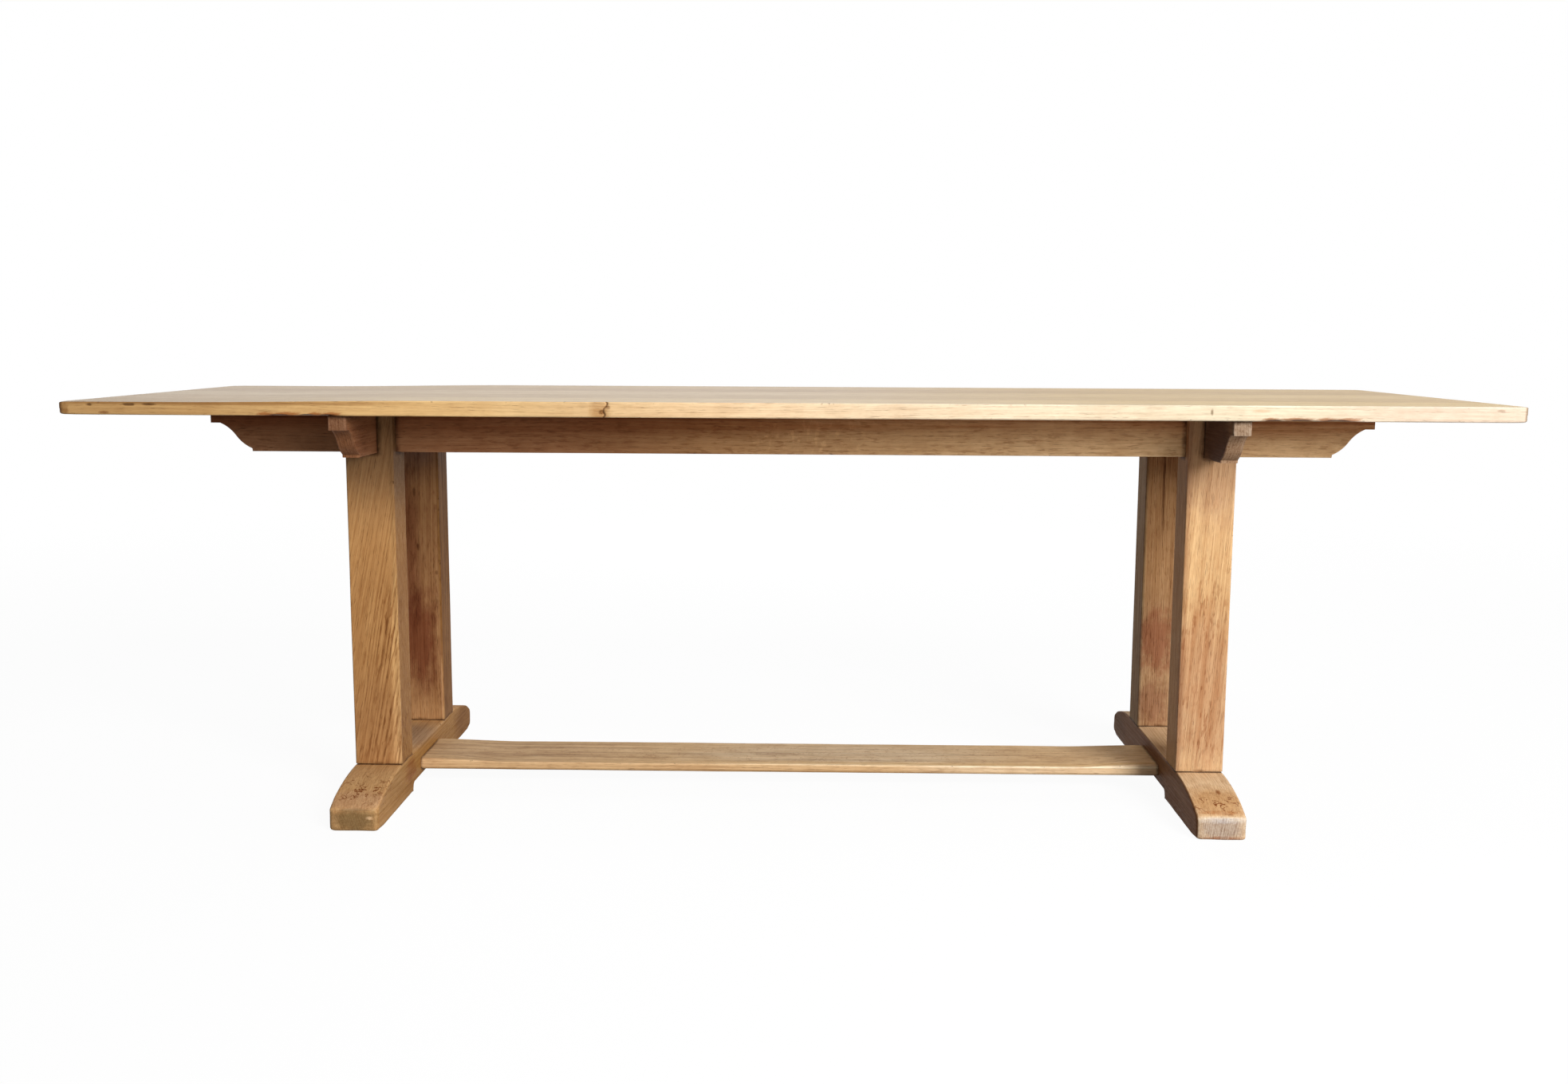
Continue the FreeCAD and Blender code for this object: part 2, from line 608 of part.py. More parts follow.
def wood_screw(name, along, across, seat, length):
    """A wood screw that points up: a flat round head under its seat, a shank and a point."""
    head = doc.addObject("Part::Cylinder", name + "_head")
    bind(head, Radius="head_radius", Height="head_height")
    shank = doc.addObject("Part::Cylinder", name + "_shank")
    bind(shank, Radius="screw_radius", Height=length)
    point = doc.addObject("Part::Cone", name + "_point")
    bind(point, Radius1="screw_radius", Radius2="point_radius", Height="screw_tip")
    for item in (head, shank, point):
        shift(item, x=along, y=across, z=seat)
    head.setExpression("Placement.Base.z", f"{cell(seat)} - Sizes.head_height")
    point.setExpression("Placement.Base.z", f"{cell(seat)} + {cell(length)}")
    screw = doc.addObject("Part::MultiFuse", name)
    screw.Shapes = [head, shank, point]
    return screw


def tenon_wedge(name, axis, degrees, width):
    """A thin wedge as wide as its tenon, thick at its origin. Unturned it points along Y."""
    wedge = doc.addObject("Part::Wedge", name)
    half_width = f"Sizes.{width} / 2"
    for prop, formula in (("Ymin", "0"), ("Ymax", "Sizes.wedge_length"),
                          ("Xmin", "-Sizes.wedge_thickness / 2"),
                          ("Xmax", "Sizes.wedge_thickness / 2"),
                          ("X2min", "-Sizes.wedge_tip / 2"),
                          ("X2max", "Sizes.wedge_tip / 2"),
                          ("Zmin", "-" + half_width), ("Zmax", half_width),
                          ("Z2min", "-" + half_width), ("Z2max", half_width)):
        wedge.setExpression(prop, formula)
    turn(wedge, axis, degrees)
    return wedge


def group(name, members):
    """Fasteners that are all alike, kept together as separate solids."""
    compound = doc.addObject("Part::Compound", name)
    compound.Links = members
    return finish(compound, name)


def bearer_screws():
    """Three screws up through each bearer."""
    screws = []
    for along in ("-trestle_x", "trestle_x"):
        for row in ("-outer_screw_y", "0", "outer_screw_y"):
            name = f"bearer_screw_{len(screws) + 1}"
            across = None if row == "0" else row
            screws.append(wood_screw(name, along, across, "screw_seat", "bearer_shank"))
    group("bearer_screws", screws)


def top_buttons():
    """The buttons along each rail, and the screw of each."""
    screws = []
    for half_turn, row in ((False, "-button_screw_y"), (True, "button_screw_y")):
        for along in ("-button_spacing", None, "button_spacing"):
            place = len(screws) + 1
            top_button(place, along, half_turn)
            name = f"button_screw_{place}"
            screws.append(wood_screw(name, along, row, "button_floor", "button_shank"))
    group("button_screws", screws)


def post_wedges():
    """Two wedges up into the foot of each post."""
    wedges = []
    for along in ("-trestle_x", "trestle_x"):
        for post_side in ("-", ""):
            for hand in ("-", "+"):
                name = f"post_wedge_{len(wedges) + 1}"
                wedge = tenon_wedge(name, CORNER, 120, "tenon_thickness")
                shift(wedge, x=along, z="tenon_inset")
                across = f"{post_side}Places.post_y {hand} Sizes.wedge_spacing / 2"
                wedge.setExpression("Placement.Base.y", across)
                wedges.append(wedge)
    group("post_wedges", wedges)


def stretcher_wedges():
    """One wedge into each tenon of the stretcher."""
    wedges = []
    for end, degrees in (("-", -90), ("", 90)):
        for hand in ("-", ""):
            name = f"stretcher_wedge_{len(wedges) + 1}"
            wedge = tenon_wedge(name, UP, degrees, "finger_thickness")
            shift(wedge, x=end + "finger_end", z="stretcher_middle")
            wedge.setExpression("Placement.Base.y", hand + "Sizes.finger_spacing / 2")
            wedges.append(wedge)
    group("stretcher_wedges", wedges)


# The whole table

def build_table():
    """All the sub-parts of the table."""
    count = int(sizes.get("board_count"))
    for place in range(1, count + 1):
        top_board(place, count)
    for place in range(1, count):
        top_tongue(place)
    rail("rail_front", False)
    rail("rail_rear", True)
    for side, along in (("left", "-trestle_x"), ("right", "trestle_x")):
        bearer(f"bearer_{side}", along)
        post(f"post_front_{side}", along, "-post_y")
        post(f"post_rear_{side}", along, "post_y")
        foot(f"foot_{side}", along)
    stretcher()
    top_buttons()
    bearer_screws()
    post_wedges()
    stretcher_wedges()


def check_table():
    """Stops if an object has failed or a sub-part has no sound solid."""
    doc.recompute()
    for item in doc.Objects:
        if "Invalid" in item.State or "Error" in item.State:
            raise RuntimeError(f"{item.Name} has failed: {item.State}")
    for item in subparts:
        shape = item.Shape
        if shape.isNull() or not shape.isValid() or not shape.Solids:
            raise RuntimeError(f"{item.Label} has no sound solid")


def write_table():
    """Writes one STEP file for each sub-part."""
    os.makedirs("parts", exist_ok=True)
    for item in subparts:
        item.Shape.exportStep(f"parts/{item.Label}.step")
        box = item.Shape.BoundBox
        print(f"{item.Label:20} {len(item.Shape.Solids)} {item.Shape.Volume / 1000:9.1f} cm3",
              f"x {box.XMin:8.1f} {box.XMax:8.1f}  y {box.YMin:7.1f} {box.YMax:7.1f}",
              f" z {box.ZMin:6.1f} {box.ZMax:6.1f}")


build_table()
check_table()
write_table()
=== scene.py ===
import math

import bpy
import numpy as np
from mathutils import Matrix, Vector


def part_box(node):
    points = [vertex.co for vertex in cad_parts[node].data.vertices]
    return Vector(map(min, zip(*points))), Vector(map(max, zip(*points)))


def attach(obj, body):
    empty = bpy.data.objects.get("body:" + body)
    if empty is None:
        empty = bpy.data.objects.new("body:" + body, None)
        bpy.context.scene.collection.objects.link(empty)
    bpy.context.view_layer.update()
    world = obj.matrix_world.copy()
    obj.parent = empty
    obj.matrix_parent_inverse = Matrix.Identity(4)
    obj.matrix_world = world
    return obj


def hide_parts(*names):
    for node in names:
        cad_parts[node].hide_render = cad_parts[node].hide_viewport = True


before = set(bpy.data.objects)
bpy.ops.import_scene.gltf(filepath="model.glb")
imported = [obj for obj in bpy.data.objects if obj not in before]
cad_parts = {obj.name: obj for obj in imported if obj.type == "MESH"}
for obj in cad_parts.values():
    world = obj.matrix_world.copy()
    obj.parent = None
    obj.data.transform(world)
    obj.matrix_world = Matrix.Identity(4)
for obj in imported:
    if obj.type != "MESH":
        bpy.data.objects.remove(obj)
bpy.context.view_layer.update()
print("frame loaded with", len(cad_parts), "nodes")

wearReach = 0.009      # how far from an arris its wear reaches
dustshadeReach = 0.012     # how far from a joint under the top its dust and painted contact shade reach
tightReach = 0.004     # the same at the feet, where they reach less far
hair = 1e-6            # less than any distance that counts
far = 9                # further out than any piece reaches
through = (-far, far)  # a span that goes right through a piece
easeLines = (0.25, 0.55, 1, 1.9)  # where grid lines lie beside a rounded arris, in its radii
leastGap = 0.0002      # such a line is left out where another lies closer than this
upperTo = 0.8          # the arris mask above which an upper face is arris instead
sharpFrom = 38         # edges that turn more than this, in degrees, stay sharp


# Shape helpers

def smooth(low, high, value):
    # 0 below low, 1 above high, and an S-shaped rise between them
    share = np.clip((value - low) / (high - low), 0, 1)
    return share * share * (3 - 2 * share)


def drift(points, size, seed):
    # Soft noise of about -1 to 1: the mean of a few sine waves in random directions, each about
    # size long, times two.
    draw = np.random.default_rng(seed)
    waves = 12
    heading = draw.normal(size=(3, waves))
    heading /= np.linalg.norm(heading, axis=0)
    pace = heading * 2 * math.pi / (size * draw.uniform(0.7, 1.8, waves))
    return 2 * np.sin(points @ pace + draw.uniform(0, 2 * math.pi, waves)).mean(1)


def uneven(points, size, share, seed):
    return 1 + share * drift(points, size, seed)


def either(middle, half):
    # The two places that lie half to either side of the middle
    return middle - half, middle + half


def outside(low, high):
    # The two spans beyond a low and a high place
    return (-far, low), (high, far)


def pair(middle, away, half):
    # The spans of two hollows that lie away to either side of the middle
    return [either(row, half) for row in either(middle, away)]


def rule(low, high, ease, step, marks):
    # The grid lines across a piece: at its two faces and at the marks, close together where its
    # arris is rounded by ease, and evenly no more than step apart between these.
    fixed = np.unique(np.round([low, high, *marks], 6))
    near = np.array(easeLines) * ease
    near = np.concatenate([low + near, high - near])
    clear = np.abs(near[:, None] - fixed).min(1) > leastGap
    fixed = np.sort(np.concatenate([fixed, near[clear]]))
    spans = [np.linspace(a, b, math.ceil((b - a) / step - hair) + 1)[:-1]
             for a, b in zip(fixed, fixed[1:])]
    return np.concatenate([*spans, fixed[-1:]])


def grid(low, high, eases, steps, marks):
    # A piece's lines along x, y and z. One ease or one step may stand for all three.
    eases, steps = np.broadcast_to(eases, 3), np.broadcast_to(steps, 3)
    return [rule(*each) for each in zip(low, high, eases, steps, marks)]


def lattice(lines, hollows):
    # A block cut on a grid of lines, less its hollows, as points and four-sided faces. A hollow is
    # its three spans. A cell whose middle lies in a hollow is empty, and each wall between a full
    # cell and an empty one is a face, wound so that it looks towards the empty one.
    middles = np.meshgrid(*[(line[1:] + line[:-1]) / 2 for line in lines], indexing="ij")
    full = np.ones(middles[0].shape, bool)
    for spans in hollows:
        inside = [(middle > a) & (middle < b) for middle, (a, b) in zip(middles, spans)]
        full &= ~np.all(inside, axis=0)
    full = np.pad(full, 1)
    stride = np.array([len(lines[1]) * len(lines[2]), len(lines[2]), 1])
    walls = []
    for axis in range(3):
        below, above = [slice(1, -1)] * 3, [slice(1, -1)] * 3
        below[axis], above[axis] = slice(None, -1), slice(1, None)
        below, above = full[tuple(below)], full[tuple(above)]
        first, second = stride[(axis + 1) % 3], stride[(axis + 2) % 3]
        around = np.array([0, first, first + second, second])
        walls.append((np.argwhere(below & ~above) @ stride)[:, None] + around)
        walls.append((np.argwhere(~below & above) @ stride)[:, None] + around[::-1])
    used, faces = np.unique(np.concatenate(walls), return_inverse=True)
    points = np.stack(np.meshgrid(*lines, indexing="ij"), -1).reshape(-1, 3)[used]
    return points, faces.reshape(-1, 4)


def easeArrises(points, low, high, radii):
    # Rounds a block's arrises: a point's step out from the block's core, in radii, keeps its
    # direction and is as long as its largest part was, which turns the square shell round.
    core = np.clip(points, low + radii, high - radii)
    step = (points - core) / radii
    length = np.linalg.norm(step, axis=1, keepdims=True)
    largest = np.abs(step).max(1, keepdims=True)
    return core + step * radii * largest / np.maximum(length, hair)


def arrisMask(points, low, high, reach):
    # 1 on a block's arris, falling to 0 at reach from it along either face
    gaps = np.minimum(np.abs(points - low), np.abs(points - high))
    return np.clip(1 - np.sort(gaps, axis=1)[:, 1] / reach, 0, 1)


def dustshadeMask(points, boxes):
    # Dust and painted contact shade: 1 where a neighbour's box touches, falling to 0 at
    # the box's reach from it
    mask = np.zeros(len(points))
    for low, high, reach in boxes:
        gap = np.linalg.norm(np.maximum(np.maximum(low - points, points - high), 0), axis=1)
        mask = np.maximum(mask, np.clip(1 - gap / reach, 0, 1) ** 1.5)
    return mask


def dent(points, middle, size, push):
    # Moves the points round a middle by push, falling off as a bell as wide as size each way
    share = (points - np.array(middle)) / np.array(size)
    return points + np.exp(-(share ** 2).sum(1))[:, None] * np.array(push)


sawCut = {"half": 0.0015, "tip": 0.0003}    # half a saw cut's width at its mouth and at its tip


def closeCuts(points, cuts, along):
    # Narrows saw cuts along their rows. along is 0 at the mouth, 1 at the tip and more beyond it.
    taper = 1 + along * (sawCut["tip"] / sawCut["half"] - 1)
    for row in np.mean(cuts, axis=1):
        step = points[:, 1] - row
        inside = (np.abs(step) < sawCut["half"] + hair) & (along < 1 + hair)
        points[:, 1] = np.where(inside, row + step * taper, points[:, 1])


def corners(node):
    return tuple(np.array(corner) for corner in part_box(node))


def middleOf(node):
    low, high = corners(node)
    return (low + high) / 2


def meets(reach, *nodes, floor=-1):
    # The boxes of the nodes that a piece meets, above floor, with how far the dust and painted
    # contact shade at their joints go
    boxes = []
    for node in nodes:
        low, high = corners(node)
        boxes.append((np.array([low[0], low[1], max(low[2], floor)]), high, reach))
    return boxes


def addObject(name, data):
    thing = bpy.data.objects.new(name, data)
    bpy.context.scene.collection.objects.link(thing)
    return thing


def carve(node, lines, hollows, shape, block, touching, material, soil=None):
    # A piece that stands for a CAD node: its lattice, put into shape, with the arris mask of the
    # block that its outer faces make, a mask of its upper face within the arrises, and a mask of the
    # dust and painted contact shade round the boxes it touches and of the dirt in what soil marks.
    points, faces = lattice(lines, hollows)
    arris = arrisMask(points, *block, wearReach)
    upper = (points[:, 2] > block[1][2] - hair) & (arris < upperTo)
    soiled = soil(points) if soil else 0
    points = shape(points)
    # dirt from soil, and dust with painted contact shade round the boxes it touches
    dustshade = np.maximum(dustshadeMask(points, touching), soiled)
    mesh = bpy.data.meshes.new("oak_" + node)
    mesh.vertices.add(len(points))
    mesh.vertices.foreach_set("co", points.ravel())
    mesh.loops.add(faces.size)
    mesh.loops.foreach_set("vertex_index", faces.ravel())
    mesh.polygons.add(len(faces))
    mesh.polygons.foreach_set("loop_start", np.arange(0, faces.size, 4))
    mesh.polygons.foreach_set("use_smooth", np.ones(len(faces), bool))
    mesh.update(calc_edges=True)
    mesh.set_sharp_from_angle(angle=math.radians(sharpFrom))
    for name, mask in (("arris", arris), ("dustshade", dustshade), ("upper", upper.astype(float))):
        mesh.attributes.new(name, "FLOAT", "POINT").data.foreach_set("value", mask)
    mesh.materials.append(material)
    piece = addObject("oak_" + node, mesh)
    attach(piece, "root")
    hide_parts(node)


# Shader helpers

def place(tree, kind, inputs, **settings):
    # One node with its settings; each input is linked to a socket or set to a value
    node = tree.nodes.new(kind)
    for name, value in settings.items():
        setattr(node, name, value)
    for key, value in inputs.items():
        if isinstance(value, bpy.types.NodeSocket):
            tree.links.new(value, node.inputs[key])
        else:
            node.inputs[key].default_value = value
    return node


def calc(tree, operation, *values):
    return place(tree, "ShaderNodeMath", dict(enumerate(values)), operation=operation).outputs[0]


def times(tree, first, second):
    return calc(tree, "MULTIPLY", first, second)


def vectorCalc(tree, operation, *values):
    inputs = dict(enumerate(values))
    if operation == "SCALE":
        inputs = {0: values[0], "Scale": values[1]}
    node = place(tree, "ShaderNodeVectorMath", inputs, operation=operation)
    return node.outputs["Value" if operation == "LENGTH" else "Vector"]


def spread(tree, value, fromLow, fromHigh, toLow=0, toHigh=1, kind="SMOOTHSTEP"):
    inputs = dict(enumerate((value, fromLow, fromHigh, toLow, toHigh)))
    return place(tree, "ShaderNodeMapRange", inputs, interpolation_type=kind).outputs[0]


def noise(tree, vector, stretch, detail=2.0, roughness=0.5, output="Fac"):
    # Noise whose grains are 1 / stretch long each way
    scaled = vectorCalc(tree, "MULTIPLY", vector, stretch)
    return place(tree, "ShaderNodeTexNoise", {"Vector": scaled, "Scale": 1, "Detail": detail,
                                              "Roughness": roughness}).outputs[output]


def mixColour(tree, share, first, second, blend="MIX"):
    return place(tree, "ShaderNodeMix", {0: share, 6: first, 7: second}, data_type="RGBA",
                 blend_type=blend).outputs[2]


def attribute(tree, name):
    return place(tree, "ShaderNodeAttribute", {}, attribute_name=name).outputs["Fac"]


def objectSpot(tree):
    return tree.nodes.new("ShaderNodeTexCoord").outputs["Object"]


def newGroup(name, inputs):
    # A group with a Vector and these inputs, each with the value it has when nothing is linked
    tree = bpy.data.node_groups.new(name, "ShaderNodeTree")
    for label, value in {"Vector": (0, 0, 0), **inputs}.items():
        kind = "NodeSocketVector" if isinstance(value, tuple) else "NodeSocketFloat"
        tree.interface.new_socket(label, in_out="INPUT", socket_type=kind).default_value = value
    return tree, tree.nodes.new("NodeGroupInput").outputs


def closeGroup(tree, outputs):
    for label in outputs:
        tree.interface.new_socket(label, in_out="OUTPUT", socket_type="NodeSocketFloat")
    place(tree, "NodeGroupOutput", outputs)
    return tree


def useGroup(tree, name, inputs):
    return place(tree, "ShaderNodeGroup", inputs, node_tree=groups[name]).outputs


def newMaterial(name):
    material = bpy.data.materials.new(name)
    material.use_nodes = True
    material.node_tree.nodes.clear()
    return material, material.node_tree


def paint(red, green, blue):
    # A colour as seen, 0 to 255, made linear for a shader
    def linear(value):
        value /= 255
        return value / 12.92 if value <= 0.04045 else ((value + 0.055) / 1.055) ** 2.4
    return (linear(red), linear(green), linear(blue), 1)


# Shader groups

def grainGroup():
    # Oak with X along the grain: growth rings round the X axis, streaks, fibres, open pores, the
    # short dashes of the widest pores with paler glints between them, and rays
    tree, given = newGroup("oak grain", {
        "Ring Width": 0.004, "Wander": 0.02, "Swirl": 0.5, "Dash Pitch": (30, 160, 160)})
    vector = given["Vector"]
    sway = noise(tree, vector, (1.3, 6, 6), 1, output="Color")
    sway = vectorCalc(tree, "SUBTRACT", sway, (0.5, 0.5, 0.5))
    sway = vectorCalc(tree, "MULTIPLY", sway, (0, 1, 1))
    grain = vectorCalc(tree, "ADD", vector, vectorCalc(tree, "SCALE", sway, given["Wander"]))
    ripple = noise(tree, vector, (9, 60, 60), 3)
    radius = vectorCalc(tree, "LENGTH", vectorCalc(tree, "MULTIPLY", grain, (0, 1, 1)))
    count = calc(tree, "DIVIDE", radius, given["Ring Width"])
    slow = place(tree, "ShaderNodeTexNoise", {"W": times(tree, count, 0.31), "Scale": 1,
                                              "Detail": 1}, noise_dimensions="1D").outputs[0]
    count = calc(tree, "ADD", count, times(tree, slow, 2.4))
    count = calc(tree, "ADD", count, times(tree, ripple, given["Swirl"]))
    ring = calc(tree, "FRACT", count)
    rings = times(tree, spread(tree, ring, 0, 0.12), spread(tree, ring, 0.16, 0.6, 1, 0))
    faint = noise(tree, grain, (4, 90, 90))
    rings = times(tree, rings, spread(tree, faint, 0.3, 0.65, 0.25, 1))
    streaks = noise(tree, grain, (1.6, 75, 75), 3, 0.6)
    fibres = noise(tree, grain, (7, 330, 330), 4, 0.62)
    cells = noise(tree, grain, (60, 950, 950), 1)
    pores = times(tree, spread(tree, cells, 0.56, 0.68), calc(tree, "MULTIPLY_ADD", rings, 0.75, 0.25))
    dashes = noise(tree, grain, given["Dash Pitch"], 2, 0.55)
    flock = spread(tree, noise(tree, vector, (5, 16, 16)), 0.38, 0.6, 0.25, 1)
    flecks = noise(tree, vector, (95, 60, 60), 3, 0.6)
    relief = calc(tree, "MULTIPLY_ADD", pores, -0.7, times(tree, fibres, 0.5))
    return closeGroup(tree, {
        "Ring": rings, "Streak": spread(tree, streaks, 0.35, 0.68),
        "Fibre": spread(tree, fibres, 0.3, 0.7, 1, 0), "Pore": pores,
        "Dash": times(tree, spread(tree, dashes, 0.55, 0.64), flock),
        "Glint": times(tree, spread(tree, dashes, 0.36, 0.45, 1, 0), flock),
        "Ray": spread(tree, flecks, 0.52, 0.62), "Relief": calc(tree, "MULTIPLY_ADD", rings, -0.3, relief)})


def patinaGroup():
    # Slow changes of tone over a piece, and the finer mottling of handled, waxed wood
    tree, given = newGroup("patina", {})
    tone = noise(tree, given["Vector"], (3, 5, 5), 3, 0.55)
    mottle = noise(tree, given["Vector"], (26, 34, 34), 4, 0.6)
    return closeGroup(tree, {"Tone": spread(tree, tone, 0.3, 0.7), "Mottle": spread(tree, mottle, 0.38, 0.7)})


def wearGroup():
    # Wear along the arrises: a rubbed band, broken up by noise, and dark nicks in it. Dirt and
    # painted contact shade gather in the joints and fade out raggedly.
    tree, given = newGroup("edge wear", {"Width": 0.5})
    arris = attribute(tree, "arris")
    broken = noise(tree, given["Vector"], (38, 38, 38), 4, 0.65)
    level = calc(tree, "ADD", arris, calc(tree, "MULTIPLY_ADD", broken, 1.3, -0.65))
    level = calc(tree, "ADD", level, given["Width"])
    chips = noise(tree, given["Vector"], (75, 75, 75), 3, 0.7)
    nicks = times(tree, spread(tree, chips, 0.64, 0.73), spread(tree, arris, 0.5, 0.95))
    dustshade = times(tree, attribute(tree, "dustshade"), spread(tree, broken, 0.38, 0.6, 0.75, 1.15))
    return closeGroup(tree, {"Rubbed": spread(tree, level, 0.85, 1.35), "Nick": nicks,
                             "Dustshade": spread(tree, dustshade, 0.1, 0.9)})


def scuffGroup():
    # Thin curly scratches, where a noise crosses its middle, and small dark specks
    tree, given = newGroup("scuffs", {})
    path = noise(tree, given["Vector"], (42, 42, 42), 2.5, 0.6)
    line = spread(tree, calc(tree, "ABSOLUTE", calc(tree, "SUBTRACT", path, 0.5)), 0.008, 0.028, 1, 0)
    patch = noise(tree, given["Vector"], (55, 55, 55))
    line = times(tree, line, spread(tree, patch, 0.46, 0.54))
    specks = spread(tree, noise(tree, given["Vector"], (120, 120, 120)), 0.66, 0.72)
    return closeGroup(tree, {"Mask": calc(tree, "MAXIMUM", line, specks)})


def stainGroup():
    # A patch with a ragged edge, round Centre and as large as Size each way
    tree, given = newGroup("stain", {"Centre": (0, 0, 0), "Size": (1, 1, 1), "Ragged": 0.5})
    away = vectorCalc(tree, "DIVIDE", vectorCalc(tree, "SUBTRACT", given["Vector"], given["Centre"]),
                      given["Size"])
    ragged = noise(tree, away, (2.2, 2.2, 2.2), 5, 0.7)
    away = calc(tree, "MULTIPLY_ADD", calc(tree, "SUBTRACT", ragged, 0.5),
                times(tree, given["Ragged"], 2), vectorCalc(tree, "LENGTH", away))
    return closeGroup(tree, {"Mask": spread(tree, away, 0.35, 1.05, 1, 0)})


groups = {"grain": grainGroup(), "patina": patinaGroup(), "wear": wearGroup(), "scuff": scuffGroup(),
          "stain": stainGroup()}
print("shader groups made:", len(groups))


# The oak, as it is everywhere unless a piece says otherwise. Each layer has a share, which is how
# strongly it shows, and a shade: how much of the wood's red, green and blue is left where it is 1.
oak = {
    "wood": (214, 171, 118),
    "tone": 0.35, "toneShade": (0.72, 0.64, 0.56), "mottle": 0.25, "mottleShade": (0.7, 0.6, 0.52),
    "streak": 0.3, "streakShade": (0.66, 0.55, 0.46), "fibre": 0.55, "fibreShade": (0.62, 0.5, 0.41),
    "ring": 0.4, "ringShade": (0.42, 0.29, 0.21), "dash": 0.45, "dashShade": (0.5, 0.37, 0.28),
    "glint": 0.3, "glintShade": (1.12, 1.16, 1.2), "pore": 0.55, "poreShade": (0.2, 0.14, 0.11),
    "rubbed": 0.4, "rubbedShade": (1.2, 1.3, 1.45), "nick": 0.75, "nickShade": (0.2, 0.14, 0.11),
    # the joints' darkening: partly dirt, partly painted shade where parts meet
    "dustshade": 0.85, "dustshadeShade": (0.22, 0.16, 0.13),
    "ringWidth": 0.0042, "wander": 0.02, "swirl": 0.6, "dashPitch": (40, 220, 220), "wornWidth": 0.4,
    "rough": 0.6, "fibreRough": 0.12, "poreRough": 0.2, "rubbedRough": -0.08, "specular": 0.08,
    "coat": 0, "coatRough": 0.36, "relief": 0.0006, "bump": 0.6,
    "pith": (0, 0.05, 0.03), "turn": (0, 0, 0),
}
alongY = (0, 0, math.pi / 2)
alongZ = (0, math.pi / 2, 0)


def oakMaterial(name, changes, stainsAndLight=()):
    # One piece's oak. pith is where the piece lies from the middle of its tree, and turn lays the
    # grain along the piece. A coat of polish lies only on the upper face. Most stains are real
    # marks; some are painted light and shade. Each is its centre, its size each way, how ragged it
    # is, its share and its shade, and then it may name a pattern: Upper keeps it to the upper face,
    # Streaks makes it follow the streaks of the grain, Scuffs breaks it into scratches, and Ring,
    # Dash, Glint or Ray leaves only these of it.
    look = {**oak, **changes}
    material, tree = newMaterial(name)
    spot = objectSpot(tree)
    mapped = place(tree, "ShaderNodeMapping", {"Vector": spot, "Location": look["pith"],
                                               "Rotation": look["turn"]}).outputs[0]
    grain = useGroup(tree, "grain", {
        "Vector": mapped, "Ring Width": look["ringWidth"], "Wander": look["wander"], "Swirl": look["swirl"],
        "Dash Pitch": look["dashPitch"]})
    patina = useGroup(tree, "patina", {"Vector": mapped})
    upper = attribute(tree, "upper")
    wear = useGroup(tree, "wear", {"Vector": spot, "Width": look["wornWidth"]})

    def layersOf(outputs, *keys):
        return [(outputs[key.capitalize()], look[key], look[key + "Shade"]) for key in keys]

    layers = layersOf(patina, "tone", "mottle")
    layers += layersOf(grain, "streak", "fibre", "ring", "dash", "glint", "pore")
    for centre, size, ragged, share, shade, *patterns in stainsAndLight:
        mask = useGroup(tree, "stain", {"Vector": spot, "Centre": centre, "Size": size,
                                        "Ragged": ragged})["Mask"]
        for pattern in patterns:
            if pattern == "Upper":
                part = upper
            elif pattern == "Scuffs":
                part = useGroup(tree, "scuff", {"Vector": spot})["Mask"]
            elif pattern == "Streaks":
                part = spread(tree, grain["Streak"], 0, 1, 0.6, 1.15)
            else:
                part = grain[pattern]
            mask = times(tree, mask, part)
        layers.append((mask, share, shade))
    layers += layersOf(wear, "rubbed", "nick", "dustshade")
    colour = paint(*look["wood"])
    for mask, share, shade in layers:
        colour = mixColour(tree, times(tree, mask, share), colour, (*shade, 1), "MULTIPLY")

    rough = look["rough"] - look["fibreRough"] / 2
    for outputs, key in ((grain, "fibre"), (grain, "pore"), (wear, "rubbed")):
        rough = calc(tree, "MULTIPLY_ADD", outputs[key.capitalize()], look[key + "Rough"], rough)
    bump = place(tree, "ShaderNodeBump", {"Height": grain["Relief"], "Strength": look["bump"],
                                          "Distance": look["relief"]}).outputs[0]
    coat = times(tree, upper, look["coat"]) if look["coat"] else 0
    shader = place(tree, "ShaderNodeBsdfPrincipled", {
        "Base Color": colour, "Roughness": rough, "Normal": bump, "Specular IOR Level": look["specular"],
        "Coat Weight": coat, "Coat Roughness": look["coatRough"]})
    place(tree, "ShaderNodeOutputMaterial", {"Surface": shader.outputs[0]})
    return material


def moved(stainsAndLight, start):
    # The same stains and painted light, with their centres given from start
    return [(np.add(start, centre), *rest) for centre, *rest in stainsAndLight]


def oakOf(node, changes, stainsAndLight):
    # A node's own oak. The centres of its stains and painted light are given from the floor
    # under the node's middle.
    return oakMaterial(f"oak_{node}", changes, moved(stainsAndLight, middleOf(node) * [1, 1, 0]))


# The top

